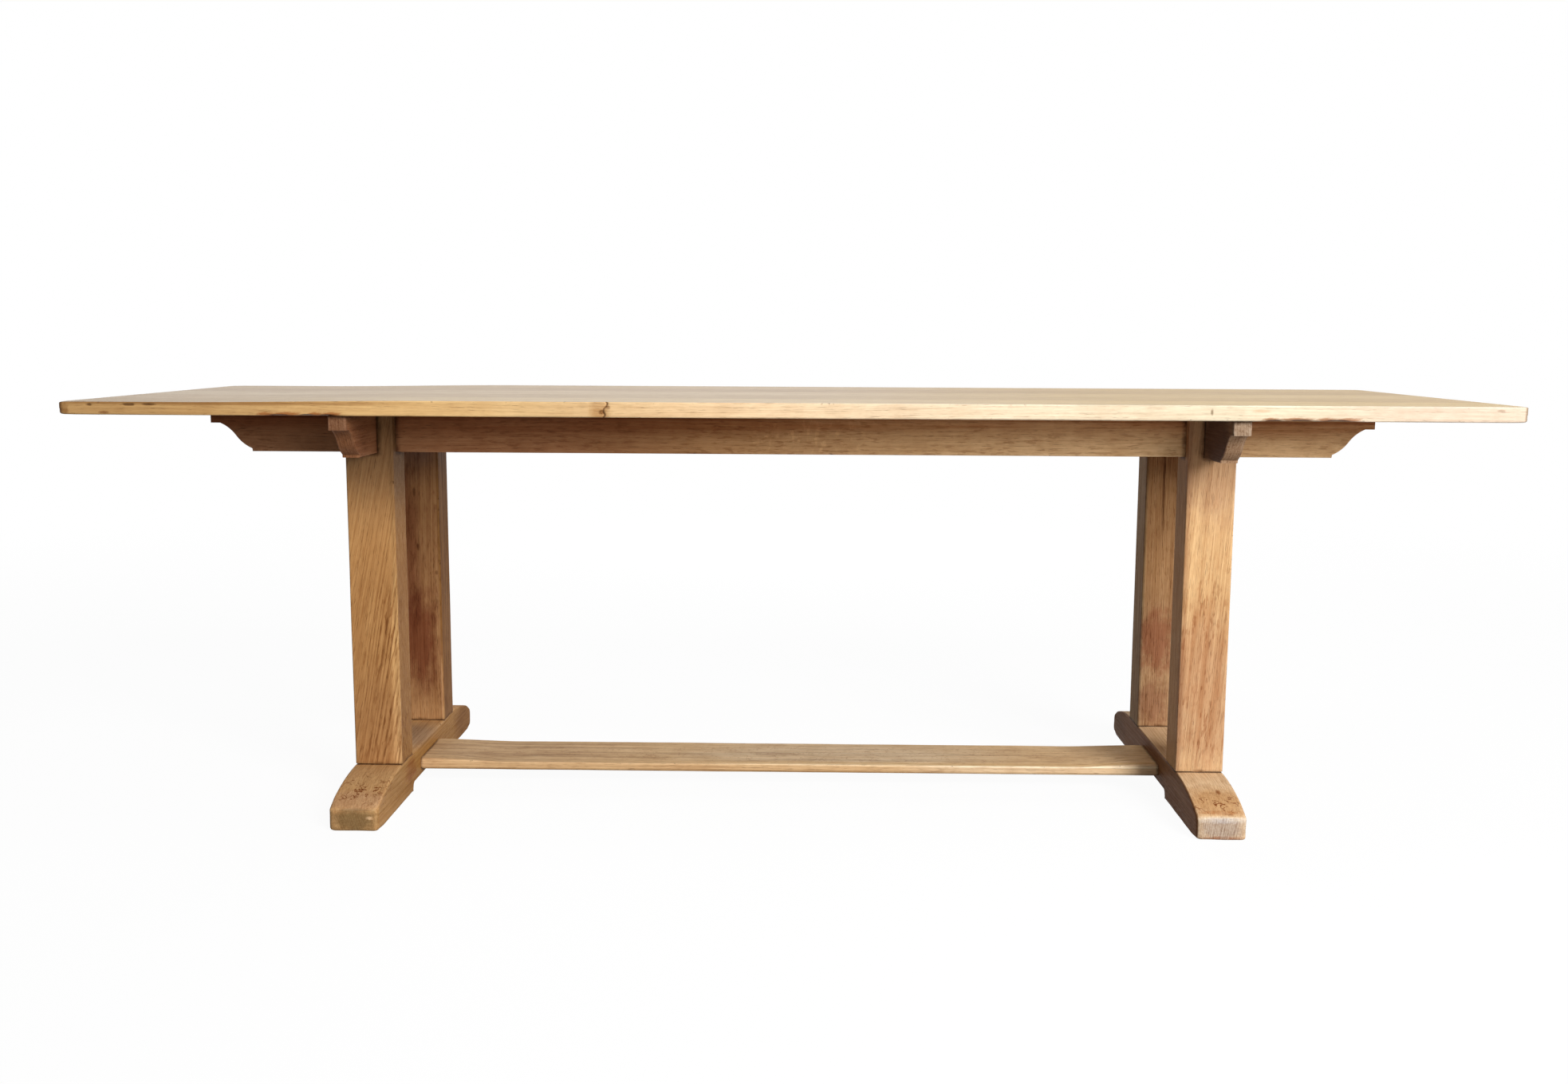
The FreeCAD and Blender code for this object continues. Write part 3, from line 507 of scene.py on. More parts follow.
top = {
    "steps": (0.012, 0.014, 0.008), "rearSteps": (0.006, 0.014, 0.008), "frontSteps": (0.006, 0.014, 0.002),
    "arris": 0.0018, "arrisBelow": 0.0034, "corner": 0.0035, "cornerReach": 0.03,
    "uneven": ((0.12, 0.3, 20), (0.03, 0.15, 30)),  # swells and ripples in the arris: size, share, seed
    "joint": 0.0004, "jointReach": 0.02, "jointSoil": 0.7,
    "grooveEnd": 0.0595, "grooveDepth": 0.0105, "grooveHalf": 0.0031,
    "endWear": 0.0022, "endWearFrom": 1.15, "endWearTo": 1.2,  # the left end's arrises are rounder
    "thinned": 0.0042, "thinFrom": 0.6, "thinTo": 1.02,
    # knocks in the outer arris: where, how wide and how deep, then how far in and up one reaches,
    # and how dark and how wide the dirt in it is
    "knocks": ((-1.096, 0.7455, 0.013, 0.0016), (-1.062, 0.746, 0.013, 0.0014),
               (-1.162, 0.7445, 0.006, 0.0008), (-0.845, 0.724, 0.018, 0.0016),
               (-0.8, 0.724, 0.012, 0.002), (-0.765, 0.724, 0.014, 0.0016), (0.8, 0.724, 0.016, 0.0014),
               (0.845, 0.724, 0.02, 0.0022), (0.905, 0.724, 0.024, 0.0018)),
    "knockReach": (0.006, 0.0026), "knockSoil": 1.1, "knockSoilWide": 0.8,
    # the wood: each board's own, and what they share
    "woods": ((229, 190, 131), (214, 174, 120), (224, 186, 132), (212, 172, 120), (220, 180, 126)),
    "oak": {"ring": 0.15, "tone": 0.25, "dash": 0.12, "streak": 0.18, "fibre": 0.3, "pore": 0.4,
            "rubbed": 0.15, "ringWidth": 0.0034, "wander": 0.03, "rough": 0.45, "coat": 0.35},
    "pith": (0, -0.05, -0.485), "pithStep": (0.3, 0.02, 0),
    # bleached by light all over, and golden to the right
    "upperStains": (
        ((0, 0, 0.75), (far, far, far), 0, 1, (0.905, 1.115, 1.66), "Upper"),
        ((0.95, 0, 0.75), (0.95, 1.2, 0.1), 0.15, 1, (0.96, 0.88, 0.61), "Upper")),
    # reddish bruises on the lower front arris: where and how wide, then what they share
    "bruises": ((-0.868, 0.018), (-0.832, 0.032), (-0.785, 0.016), (-0.757, 0.022), (0.795, 0.018),
                (0.838, 0.04), (0.886, 0.022), (0.922, 0.03)),
    "bruiseHeight": 0.7265, "bruiseSize": (0.012, 0.0052), "bruised": (0.56, 0.32, 0.22),
    # the front edge's stains and painted light: along from the middle, in from its face, up from the floor
    "edgeStainsAndLight": (
        # These three: paler and creamier to the right, partly painted light and partly bleached wood
        ((1.1, 0, 0.737), (1.75, 0.007, 0.2), 0, 1, (1.01, 1.36, 2.3)),
        ((0.15, 0, 0.737), (0.6, 0.007, 0.05), 0, 1, (1.08, 1.02, 1)),
        ((1.2, 0, 0.737), (0.4, 0.007, 0.05), 0, 1, (0.95, 0.88, 0.93)),
        # painted shade: a dark line down the right end, where the arris turns from the light
        ((1.2145, 0, 0.737), (0.0065, 0.012, 0.05), 0, 1, (0.44, 0.4, 0.34)),
        ((-1.214, 0, 0.737), (0.0085, 0.012, 0.05), 0.3, 0.9, (0.36, 0.26, 0.18)),
        # painted shade: darker towards the far left, where the light falls off
        ((-1.3, 0, 0.737), (0.6, 0.5, 0.5), 0, 1, (0.76, 0.71, 0.67)),
        ((-0.308, 0, 0.733), (0.006, 0.01, 0.005), 0.5, 0.9, (0.36, 0.24, 0.15), "Streaks"),
        ((-0.297, 0, 0.741), (0.005, 0.01, 0.004), 0.5, 0.9, (0.36, 0.24, 0.15), "Streaks"),
        # painted shade beside the shake, on its side away from the light
        ((-0.311, 0, 0.737), (0.022, 0.01, 0.04), 0.4, 0.85, (0.68, 0.55, 0.42), "Streaks"),
        ((0.698, 0, 0.739), (0.003, 0.01, 0.007), 0.5, 0.75, (0.35, 0.3, 0.25), "Streaks"),
        ((1.17, 0, 0.7435), (0.009, 0.01, 0.003), 0.5, 0.9, (0.4, 0.3, 0.24), "Streaks"),
        ((-1.138, 0, 0.728), (0.012, 0.01, 0.003), 0.6, 0.7, (0.4, 0.25, 0.18), "Streaks"),
        ((-1.203, 0, 0.733), (0.008, 0.01, 0.014), 0.6, 0.7, (0.45, 0.32, 0.22), "Streaks"),
        ((0.78, 0, 0.741), (0.02, 0.01, 0.004), 0.7, 0.5, (0.85, 0.66, 0.55), "Streaks"),
        ((-1, 0, 0.7445), (0.5, 0.012, 0.0045), 0.6, 0.85, (0.56, 0.46, 0.37))),
}
# The shake in the front edge: a crooked crack that starts at the upper arris. Its own grid lines
# lie about its middle, from and to how many of its halves and how many of them.
shake = {"start": -0.3, "lean": 0.006, "swing": 0.0022, "turns": 9, "half": 0.0021, "depth": 0.0024,
         "reach": 0.006, "soft": 1.25, "middle": -0.3025, "lines": (-5, 5, 17)}


def topBoard(number, count):
    node = f"top_board_{number}"
    low, high = corners(node)
    middle = (low[2] + high[2]) / 2
    first, last = number == 1, number == count
    sides = ((low[1], 1, first), (high[1], -1, last))
    joined = [(face, inward) for face, inward, outer in sides if not outer]
    grooveX = (low[0] + top["grooveEnd"], high[0] - top["grooveEnd"])
    grooveZ = either(middle, top["grooveHalf"])
    hollows, marksX, marksY = [], [*grooveX], [low[1] + top["joint"], high[1] - top["joint"]]
    for face, inward in joined:
        wall = face + inward * top["grooveDepth"]
        marksY.append(wall)
        hollows.append((grooveX, sorted((wall, face - inward)), grooveZ))
    if first:
        marksX += list(shake["middle"] + np.linspace(*shake["lines"]) * shake["half"])
    steps = top["frontSteps" if first else "rearSteps" if last else "steps"]
    lines = grid(low, high, top["arris"], steps,
                 (marksX, marksY, [*grooveZ, low[2] + top["joint"], high[2] - top["joint"]]))

    def shakeMask(points):
        # 1 on the crooked line of the shake, which leans left and turns back near the lower arris
        fall = (high[2] - points[:, 2]) / (high[2] - low[2])
        path = shake["start"] - shake["lean"] * fall + shake["swing"] * np.sin(fall * shake["turns"])
        mask = np.clip(shake["soft"] - np.abs(points[:, 0] - path) / shake["half"], 0, 1)
        return mask * (points[:, 1] < low[1] + shake["reach"])

    def soil(points):
        # Polish and dirt lie in the joints, and on the front edge in the shake and the knocks
        fromJoint = np.min([np.abs(points[:, 1] - face) for face, inward in joined], axis=0)
        mask = np.where((fromJoint < hair) & (points[:, 2] > middle), top["jointSoil"], 0.0)
        if first:
            mask = np.maximum(mask, shakeMask(points))
            for x, z, width, depth in top["knocks"]:
                share = (points - [x, low[1], z]) / [width * top["knockSoilWide"], *top["knockReach"]]
                mask = np.maximum(mask, top["knockSoil"] * np.exp(-(share ** 4).sum(1)))
        return np.clip(mask, 0, 1)

    def shape(points):
        # The outer arrises are round and a little worn, and the joints only just broken. The left
        # end has been planed thinner from above. A shake is a crooked groove across the front edge.
        end = high[0] - np.abs(points[:, 0])
        side = np.full(len(points), 1.0)
        if first:
            side = points[:, 1] - low[1]
        if last:
            side = high[1] - points[:, 1]
        worn = 1 + sum(share * drift(points, size, seed + number) for size, share, seed in top["uneven"])
        wear = np.where(points[:, 2] > middle, top["arris"], top["arrisBelow"]) * worn
        wear = wear + top["endWear"] * smooth(top["endWearFrom"], top["endWearTo"], -points[:, 0])
        cornerX = wear + top["corner"] * (1 - smooth(0, top["cornerReach"], side))
        cornerY = wear + top["corner"] * (1 - smooth(0, top["cornerReach"], end))
        outer = np.minimum(end, side) < top["jointReach"]
        radii = np.stack([cornerX, np.where(outer, cornerY, top["joint"]),
                          np.where(outer, wear, top["joint"])], 1)
        for face, inward in joined:
            radii[(points[:, 1] - face) * inward < top["jointReach"], 1] = top["joint"]
        groove, inFrom = shakeMask(points), points[:, 1] - low[1]
        points = easeArrises(points, low, high, radii)
        if first:
            for x, z, width, depth in top["knocks"]:
                up = 1 if z < middle else -1
                points = dent(points, (x, low[1], z), (width, *top["knockReach"]), (0, depth, depth * up))
            points[:, 1] += shake["depth"] * groove * np.clip(1 - inFrom / shake["reach"], 0, 1)
        thin = smooth(top["thinFrom"], top["thinTo"], -points[:, 0]) * top["thinned"] / (high[2] - low[2])
        points[:, 2] = low[2] + (points[:, 2] - low[2]) * (1 - thin)
        return points

    stainsAndLight = [*top["upperStains"]]
    if first:
        bruises = [((x, 0, top["bruiseHeight"]), (half, *top["bruiseSize"]), 0.8, 0.9, top["bruised"])
                   for x, half in top["bruises"]]
        stainsAndLight += moved([*bruises, *top["edgeStainsAndLight"]], (0, low[1], 0))
    pith = np.add(top["pith"], np.multiply(top["pithStep"], number))
    changes = {**top["oak"], "wood": top["woods"][number - 1], "pith": pith}
    whole = (np.array([low[0], corners("top_board_1")[0][1], low[2]]),
             np.array([high[0], corners(f"top_board_{count}")[1][1], high[2]]))
    beams = meets(dustshadeReach, "rail_front", "rail_rear", "bearer_left", "bearer_right")
    carve(node, lines, hollows, shape, whole, beams, oakMaterial(f"oak_top_{number}", changes, stainsAndLight),
          soil)


boardCount = 5
for number in range(1, boardCount + 1):
    topBoard(number, boardCount)
print("top boards made")


# The beams under the top

beam = {
    "step": 0.01, "arris": 0.0014, "uneven": (0.09, 0.4), "notchHalf": 0.0151,
    "bore": 0.007, "boreHeight": 0.046, "boreRows": (-0.2655, 0, 0.2655),
    "boreLines": (-1.45, -1, -0.5, 0, 0.5, 1, 1.45), "boreBlend": (1.01, 1.44),
    "slotHalf": 0.019, "slotDepth": 0.013, "slotFloor": 0.0221, "slotRoof": 0.012, "slotRows": (-0.5, 0, 0.5),
}
ogee = {"end": 0.025, "shoulder": 0.017, "run": 0.057, "fall": 0.046, "radius": 0.067, "slope": 0.0005,
        "lines": 20}


def ogeeDepth(inset, height):
    # A beam's depth at a distance from its end: the square end, the flat shoulder, then two equal
    # arcs, the hollow and the round turned about the middle between them, and a small step.
    half = np.array([ogee["run"], ogee["fall"]]) / 2
    chord = np.linalg.norm(half)
    away = math.sqrt(ogee["radius"] ** 2 - chord ** 2 / 4) / chord
    centre = half / 2 + away * np.array([-half[1], half[0]])
    along = np.clip(inset - ogee["shoulder"], 0, ogee["run"])
    nearer = np.minimum(along, ogee["run"] - along)
    curve = centre[1] - np.sqrt(ogee["radius"] ** 2 - (nearer - centre[0]) ** 2)
    curve = np.where(along > half[0], ogee["fall"] - curve, curve)
    stepped = np.clip((inset - ogee["shoulder"] - ogee["run"]) / ogee["slope"], 0, 1)
    return ogee["end"] + curve + stepped * (height - ogee["end"] - ogee["fall"])


def ogeeMarks(low, high):
    foot = ogee["shoulder"] + ogee["run"]
    insets = [*np.linspace(ogee["shoulder"], foot, ogee["lines"]), foot + ogee["slope"]]
    return [low + inset for inset in insets] + [high - inset for inset in insets]


def ogeeShape(points, axis, low, high, seed):
    # Rounds a beam's arrises and draws its lower side up to the ogee line at both ends
    worn = beam["arris"] * uneven(points, *beam["uneven"], seed)
    points = easeArrises(points, low, high, worn[:, None])
    height = high[2] - low[2]
    inset = np.minimum(points[:, axis] - low[axis], high[axis] - points[:, axis])
    points[:, 2] = high[2] - (high[2] - points[:, 2]) * ogeeDepth(inset, height) / height
    return points


def carveBeam(node, lines, hollows, shape, posts, changes, stainsAndLight):
    # The top covers a beam's upper arrises, so its block has none there
    low, high = corners(node)
    boards = [f"top_board_{number}" for number in range(1, boardCount + 1)]
    carve(node, lines, hollows, shape, (low, high + [0, 0, 1]), meets(dustshadeReach, *boards, *posts),
          oakOf(node, changes, stainsAndLight))


def rail(row, seed, changes, stainsAndLight=()):
    # Notches drop over the bearers, and slots in the inner side take the buttons' lips
    node = f"rail_{row}"
    low, high = corners(node)
    middle = (low[2] + high[2]) / 2
    wall = high[1] - beam["slotDepth"] if row == "front" else low[1] + beam["slotDepth"]
    inner = (wall, far) if row == "front" else (-far, wall)
    slot = (high[2] - beam["slotFloor"], high[2] - beam["slotRoof"])
    hollows, marks = [], ogeeMarks(low[0], high[0])
    for name in ("bearer_left", "bearer_right"):
        notch = either(middleOf(name)[0], beam["notchHalf"])
        marks += notch
        hollows.append((notch, through, (-far, middle)))
    for spot in beam["slotRows"]:
        lip = either(spot, beam["slotHalf"])
        marks += lip
        hollows.append((lip, inner, slot))
    lines = grid(low, high, beam["arris"], beam["step"], (marks, [wall], [middle, *slot]))
    carveBeam(node, lines, hollows, lambda points: ogeeShape(points, 0, low, high, seed),
              [f"post_{row}_left", f"post_{row}_right"], changes, stainsAndLight)


def bearer(side, seed, changes, stainsAndLight):
    # Notches in the upper edge take the rails, and bores come up from below for the screws. A
    # bore is cut square and turned round: a point in its square keeps its largest part as radius.
    node = f"bearer_{side}"
    low, high = corners(node)
    middle, across = (low[2] + high[2]) / 2, (low[0] + high[0]) / 2
    roof = low[2] + beam["boreHeight"]
    hollows, marks = [], ogeeMarks(low[1], high[1])
    for name in ("rail_front", "rail_rear"):
        notch = either(middleOf(name)[1], beam["notchHalf"])
        marks += notch
        hollows.append((through, notch, (middle, far)))
    ring = np.array(beam["boreLines"]) * beam["bore"]
    for row in beam["boreRows"]:
        marks += [*(row + ring)]
        hollows.append((either(across, beam["bore"]), either(row, beam["bore"]), (-far, roof)))
    lines = grid(low, high, beam["arris"], beam["step"], (across + ring, marks, [middle, roof]))

    def shape(points):
        points = ogeeShape(points, 1, low, high, seed)
        inside, outside = np.array(beam["boreBlend"]) * beam["bore"]
        for row in beam["boreRows"]:
            step = points[:, :2] - [across, row]
            square = np.abs(step).max(1)
            length = np.linalg.norm(step, axis=1)
            share = 1 - smooth(inside, outside, square)
            scale = 1 + share * (square / np.maximum(length, hair) - 1)
            points[:, :2] = [across, row] + step * scale[:, None]
        return points

    carveBeam(node, lines, hollows, shape, [f"post_front_{side}", f"post_rear_{side}"], changes, stainsAndLight)


rail("front", 41, {
    "wood": (208, 164, 113), "pith": (0.2, 0.09, -0.62), "ringWidth": 0.0035, "ring": 0.07, "streak": 0.05,
    "tone": 0.15, "fibre": 0.4, "mottle": 0.4},
    # These three: darker to the left, paler to the right, partly painted light and partly wood tone
    [((-0.95, 0, 0.686), (1.2, 0.3, 0.3), 0.15, 1, (0.57, 0.46, 0.49)),
     ((-1.05, 0, 0.686), (0.45, 0.3, 0.3), 0.15, 1, (0.8, 0.84, 0.9)),
     ((0.95, 0, 0.686), (1.2, 0.3, 0.3), 0.15, 1, (1.19, 1.36, 1.66)),
     # darker and redder along the top: partly painted shade under the top, partly wood tone
     ((0, 0, 0.724), (far, 0.3, 0.055), 0.3, 0.9, (0.74, 0.55, 0.46), "Streaks"),
     # painted shadow under the top's front edge, partly grime in the joint
     ((0, -0.015, 0.716), (far, 0.05, 0.0115), 0.25, 0.9, (0.55, 0.36, 0.26), "Streaks"),
     ((0.04, -0.015, 0.683), (0.14, 0.05, 0.045), 0.5, 0.6, (1.3, 1.35, 1.4), "Ray")])
rail("rear", 42, {"wood": (184, 140, 96), "pith": (0.7, -0.1, -0.62), "ringWidth": 0.0035})
# the right bearer's wood is paler than the left's: partly painted light, partly its own tone
bearer("left", 43, {"wood": (150, 105, 74), "pith": (0, -0.75, -0.65), "turn": alongY},
       [((0, -0.382, 0.686), (0.05, 0.012, 0.1), 0, 1, (0.88, 0.98, 1.12))])
bearer("right", 44, {"wood": (172, 142, 114), "pith": (0.4, 0.7, -0.65), "turn": alongY},
       [((0, -0.382, 0.686), (0.05, 0.012, 0.1), 0, 1, (0.91, 1.03, 1.16)),
        # painted shadow: the side face next to the post darkened
        ((-0.015, -0.28, 0.686), (0.003, 0.14, 0.08), 0, 0.9, (0.2, 0.13, 0.14))])
print("beams made")


# The trestles

post = {
    "steps": (0.012, 0.012, 0.008), "arris": 0.0025, "uneven": (0.15, 0.35), "footArris": 0.0008,
    "slotHalf": 0.0151, "slotFloor": 0.648, "slotArris": 0.0012, "slotReach": 0.006, "slotFade": 0.003,
    "tenon": (0.014, 0.028), "shoulder": 0.073, "cutRow": 0.013, "cutRoof": 0.042,
    # the gap under the shoulder: its height, where it starts and is full, and how it wavers
    "gap": 0.0013, "gapFrom": 0.008, "gapTo": 0.013, "gapWaver": 0.006, "gapWaverSize": 0.04,
    "gapFade": 0.0025,
}


def postPiece(row, side, seed, changes, stainsAndLight):
    node = f"post_{row}_{side}"
    low, high = corners(node)
    middle = (low + high) / 2
    shaftLow = np.array([low[0], low[1], post["shoulder"]])
    slots = [np.array(either(middle[axis], post["slotHalf"])) for axis in (0, 1)]
    tenons = [either(middle[axis], post["tenon"][axis]) for axis in (0, 1)]
    cuts = pair(middle[1], post["cutRow"], sawCut["half"])
    above, below = (post["slotFloor"], far), (-far, post["shoulder"])
    hollows = [(slots[0], through, above), (through, slots[1], above)]
    hollows += [(span, through, below) for span in outside(*tenons[0])]
    hollows += [(through, span, below) for span in outside(*tenons[1])]
    hollows += [(through, cut, (-far, post["cutRoof"])) for cut in cuts]
    ease = np.array([0, 0.0004, 0.0012, 0.003])    # lines beside a slot, whose arrises are round
    marks = [[*tenons[axis], *(slots[axis][0] - ease), *(slots[axis][1] + ease)] for axis in (0, 1)]
    levels = [post["cutRoof"], *(post["shoulder"] + np.array([0, 0.5, 1]) * post["footArris"]),
              *(post["slotFloor"] + np.array([0, 0.0005, post["slotFade"]]))]
    lines = grid(low, high, (post["arris"], post["arris"], post["footArris"]), post["steps"],
                 (marks[0], [*marks[1], *np.ravel(cuts)], levels))

    def shape(points):
        # The shaft's arrises are round. Above the slot floor each prong is a block of its own, so
        # that the slots' edges are broken too. The two saw cuts close towards their roof. The
        # shoulder is tight on the foot beside its middle and stands off a little at its ends.
        inProng = points[:, 2] > post["slotFloor"] + hair
        least, most = np.repeat([shaftLow], len(points), axis=0), np.repeat([high], len(points), axis=0)
        for axis in (0, 1):
            least[inProng & (points[:, axis] > middle[axis]), axis] = slots[axis][1]
            most[inProng & (points[:, axis] < middle[axis]), axis] = slots[axis][0]
        worn = post["arris"] * uneven(points, *post["uneven"], seed)
        slotWorn = smooth(post["slotFloor"], post["slotFloor"] + post["slotFade"], points[:, 2])
        slotWorn = np.maximum(post["slotArris"] * slotWorn, 10 * hair)
        beside = (np.abs(points - middle)[:, :2] < post["slotHalf"] + post["slotReach"]).any(1)
        radii = np.repeat(worn[:, None], 3, axis=1)
        radii[:, 2] = post["footArris"]
        radii[:, :2] = np.where((inProng & beside)[:, None], slotWorn[:, None], radii[:, :2])
        points = easeArrises(points, least, most, radii)
        along = (points[:, 2] - low[2]) / (post["cutRoof"] - low[2])
        closeCuts(points, cuts, along)
        away = np.abs(points - middle)[:, :2]
        up = (points[:, 2] - post["shoulder"]) / post["gapFade"]
        onShoulder = (away > np.array(post["tenon"]) + hair).any(1) & (up < 1)
        gap = away.min(1) + post["gapWaver"] * drift(points, post["gapWaverSize"], seed + 7)
        gap = post["gap"] * smooth(post["gapFrom"], post["gapTo"], gap)
        points[:, 2] += np.where(onShoulder, gap * (1 - up), 0)
        return points

    tall = (np.array([low[0], low[1], -1]), high + [0, 0, 1])
    touching = meets(dustshadeReach, f"bearer_{side}", f"rail_{row}") + meets(tightReach, f"foot_{side}")
    carve(node, lines, hollows, shape, tall, touching, oakOf(node, changes, stainsAndLight))


foot = {
    "steps": (0.01, 0.007, 0.01), "arris": 0.003, "toeArris": 0.0095, "rearArris": 0.015,
    "arrisLimits": (0.001, 0.018), "toeFrom": 0.325, "toeTo": 0.362, "uneven": (0.05, 0.2),
    "reliefEnd": 0.1285, "relief": 0.017, "reliefRound": 0.012, "toeStart": 0.201, "slope": 0.006,
    "bend": 1.155, "mortise": (0.0141, 0.0281), "fingerRow": 0.038, "fingerHalf": 0.0211,
    "fingerZ": 0.03825, "fingerTall": 0.0066,
    "oak": {"turn": alongY, "ring": 0.1, "streak": 0.15, "tone": 0.25, "dash": 0.15, "pore": 0.3},
}


def footPiece(side, seed, changes, stainsAndLight):
    node = f"foot_{side}"
    low, high = corners(node)
    mortise = either((low[0] + high[0]) / 2, foot["mortise"][0])
    finger = either(foot["fingerZ"], foot["fingerTall"])
    relief = either(0, foot["reliefEnd"])
    posts = [f"post_front_{side}", f"post_rear_{side}"]
    rows = [either(middleOf(name)[1], foot["mortise"][1]) for name in posts]
    holes = pair(0, foot["fingerRow"], foot["fingerHalf"])
    hollows = [(through, relief, (-far, foot["relief"])), *((mortise, row, through) for row in rows),
               *((through, hole, finger) for hole in holes)]
    curve = foot["reliefEnd"] - np.linspace(0, 1, 5) * foot["reliefRound"]
    marks = [*relief, *either(0, foot["toeStart"]), *np.ravel(rows + holes), *curve, *-curve]
    lines = grid(low, high, foot["toeArris"], foot["steps"], (mortise, marks, [foot["relief"], *finger]))

    def shape(points):
        # The arrises are worn round, most at the toes. The gap's roof curves down at its ends, and
        # beyond the posts the upper side falls by slope and bend times the square of the distance.
        away = np.abs(points[:, 1])
        atToe = np.where(points[:, 1] < 0, foot["toeArris"], foot["rearArris"]) - foot["arris"]
        worn = foot["arris"] + atToe * smooth(foot["toeFrom"], foot["toeTo"], away)
        worn = np.clip(worn * uneven(points, *foot["uneven"], seed), *foot["arrisLimits"])
        points = easeArrises(points, low, high, worn[:, None])
        into = np.clip((away - foot["reliefEnd"]) / foot["reliefRound"] + 1, 0, 1)
        roof = foot["relief"] - foot["reliefRound"] * (1 - np.sqrt(1 - into ** 2))
        inGap = (away < foot["reliefEnd"] + hair) & (points[:, 2] < foot["relief"] + hair)
        points[:, 2] = np.where(inGap, points[:, 2] * roof / foot["relief"], points[:, 2])
        out = np.clip(away - foot["toeStart"], 0, None)
        points[:, 2] *= 1 - (foot["slope"] * out + foot["bend"] * out ** 2) / high[2]
        return points

    carve(node, lines, hollows, shape, (low, high), meets(tightReach, *posts, floor=high[2]),
          oakOf(node, {**foot["oak"], **changes}, stainsAndLight))


redBrown = (0.47, 0.29, 0.28)
dark = (0.3, 0.2, 0.14)
scratched = (0.4, 0.22, 0.14)
rearPost = {"turn": alongZ, "ringWidth": 0.003, "streak": 0.5, "pore": 0.7}
# right-hand posts and feet have paler woods: partly painted light, partly their own tone
postPiece("front", "left", 51, {
    "wood": (195, 148, 95), "turn": (0, math.pi / 2 - 0.2, 0), "pith": (0, -0.26, -0.617),
    "ringWidth": 0.0023, "ring": 0.18, "wander": 0.012, "dash": 0.3, "dashShade": (0.6, 0.45, 0.34),
    "dashPitch": (34, 220, 220)},
    # painted shadow of the top: darker towards the post's top
    [((0, 0, 0.74), (0.5, 0.5, 0.26), 0.1, 1, (0.51, 0.54, 0.65)),
     ((0, -0.038, 0.1), (0.1, 0.02, 0.2), 0.3, 1, (0.9, 0.87, 0.9)),
     ((0.0245, -0.038, 0.2), (0.062, 0.08, 0.3), 0.4, 0.55, (0.46, 0.33, 0.24), "Ring"),
     ((0.0245, -0.038, 0.2), (0.062, 0.08, 0.3), 0.4, 0.65, (0.54, 0.4, 0.3), "Dash"),
     ((0.0245, -0.038, 0.2), (0.062, 0.08, 0.3), 0.4, 0.6, (1.16, 1.2, 1.24), "Glint"),
     # painted highlight: a pale stripe down the front arris
     ((0.0385, -0.038, 0.2), (0.013, 0.01, 0.36), 0.2, 1, (1.52, 1.72, 1.94)),
     # painted shade on the side face
     ((0.0425, 0, 0.4), (0.01, 0.2, 1), 0.2, 0.8, (0.7, 0.68, 0.65))])
postPiece("front", "right", 52, {
    "wood": (224, 186, 137), "turn": (0, math.pi / 2 - 0.06, 0), "pith": (0.5, -0.7, -0.25),
    "ringWidth": 0.0018, "ring": 0.25, "wander": 0.012, "dash": 0.22, "dashShade": (0.68, 0.52, 0.42),
    "dashPitch": (48, 260, 260), "pore": 0.6, "mottleShade": (0.88, 0.76, 0.68)},
    [((0, -0.038, 0.24), (0.08, 0.03, 0.24), 0.6, 0.6, (0.6, 0.43, 0.34), "Dash"),
     ((0, -0.038, 0.24), (0.07, 0.02, 0.2), 0.9, 0.7, (0.82, 0.64, 0.54), "Streaks"),
     # painted shadow of the top: darker towards the post's top
     ((0, -0.038, 0.65), (0.12, 0.02, 0.16), 0.5, 0.9, (0.78, 0.74, 0.82)),
     ((0, -0.038, 0.2), (0.12, 0.02, 0.22), 0.3, 1, (0.86, 0.85, 0.94)),
     ((-0.04, -0.038, 0.39), (0.004, 0.006, 0.03), 0.7, 0.7, (0.5, 0.4, 0.3), "Streaks"),
     ((0, -0.038, 0.085), (0.06, 0.02, 0.035), 0.3, 0.9, (1.1, 1.16, 1.2), "Streaks"),
     # painted shade on the side face away from the light
     ((-0.0425, 0, 0.4), (0.012, 0.2, 1), 0.2, 0.9, (0.68, 0.6, 0.58))])
postPiece("rear", "left", 53, {**rearPost, "wood": (178, 135, 93), "pith": (0.3, 0.06, 0.8)},
    [((-0.0045, -0.038, 0.24), (0.055, 0.02, 0.14), 0.7, 0.95, redBrown),
     ((-0.0225, -0.038, 0.43), (0.035, 0.02, 0.22), 0.7, 0.75, redBrown),
     # painted light: paler near the bottom, below the top's shadow
     ((0.0075, -0.038, 0.085), (0.07, 0.02, 0.045), 0.3, 1, (1.28, 1.38, 1.42), "Streaks"),
     # painted shade on the side face
     ((0.043, 0, 0.4), (0.006, 0.2, 1), 0.1, 1, (0.65, 0.58, 0.41)),
     # painted highlight: a pale line down the front arris
     ((0.041, -0.038, 0.13), (0.0034, 0.006, 0.13), 0.3, 0.9, (1.75, 2, 2.7)),
     # painted shadow of the top: darker towards the post's top
     ((0, -0.003, 0.7), (0.1, 0.1, 0.16), 0.2, 0.9, (0.54, 0.63, 1.2)),
     ((-0.0065, -0.038, 0.544), (0.004, 0.01, 0.012), 0.5, 0.9, dark, "Streaks"),
     ((-0.0015, -0.038, 0.433), (0.0045, 0.01, 0.01), 0.5, 0.9, dark, "Streaks"),
     ((0.0345, -0.038, 0.38), (0.004, 0.01, 0.006), 0.5, 0.9, dark, "Streaks")])
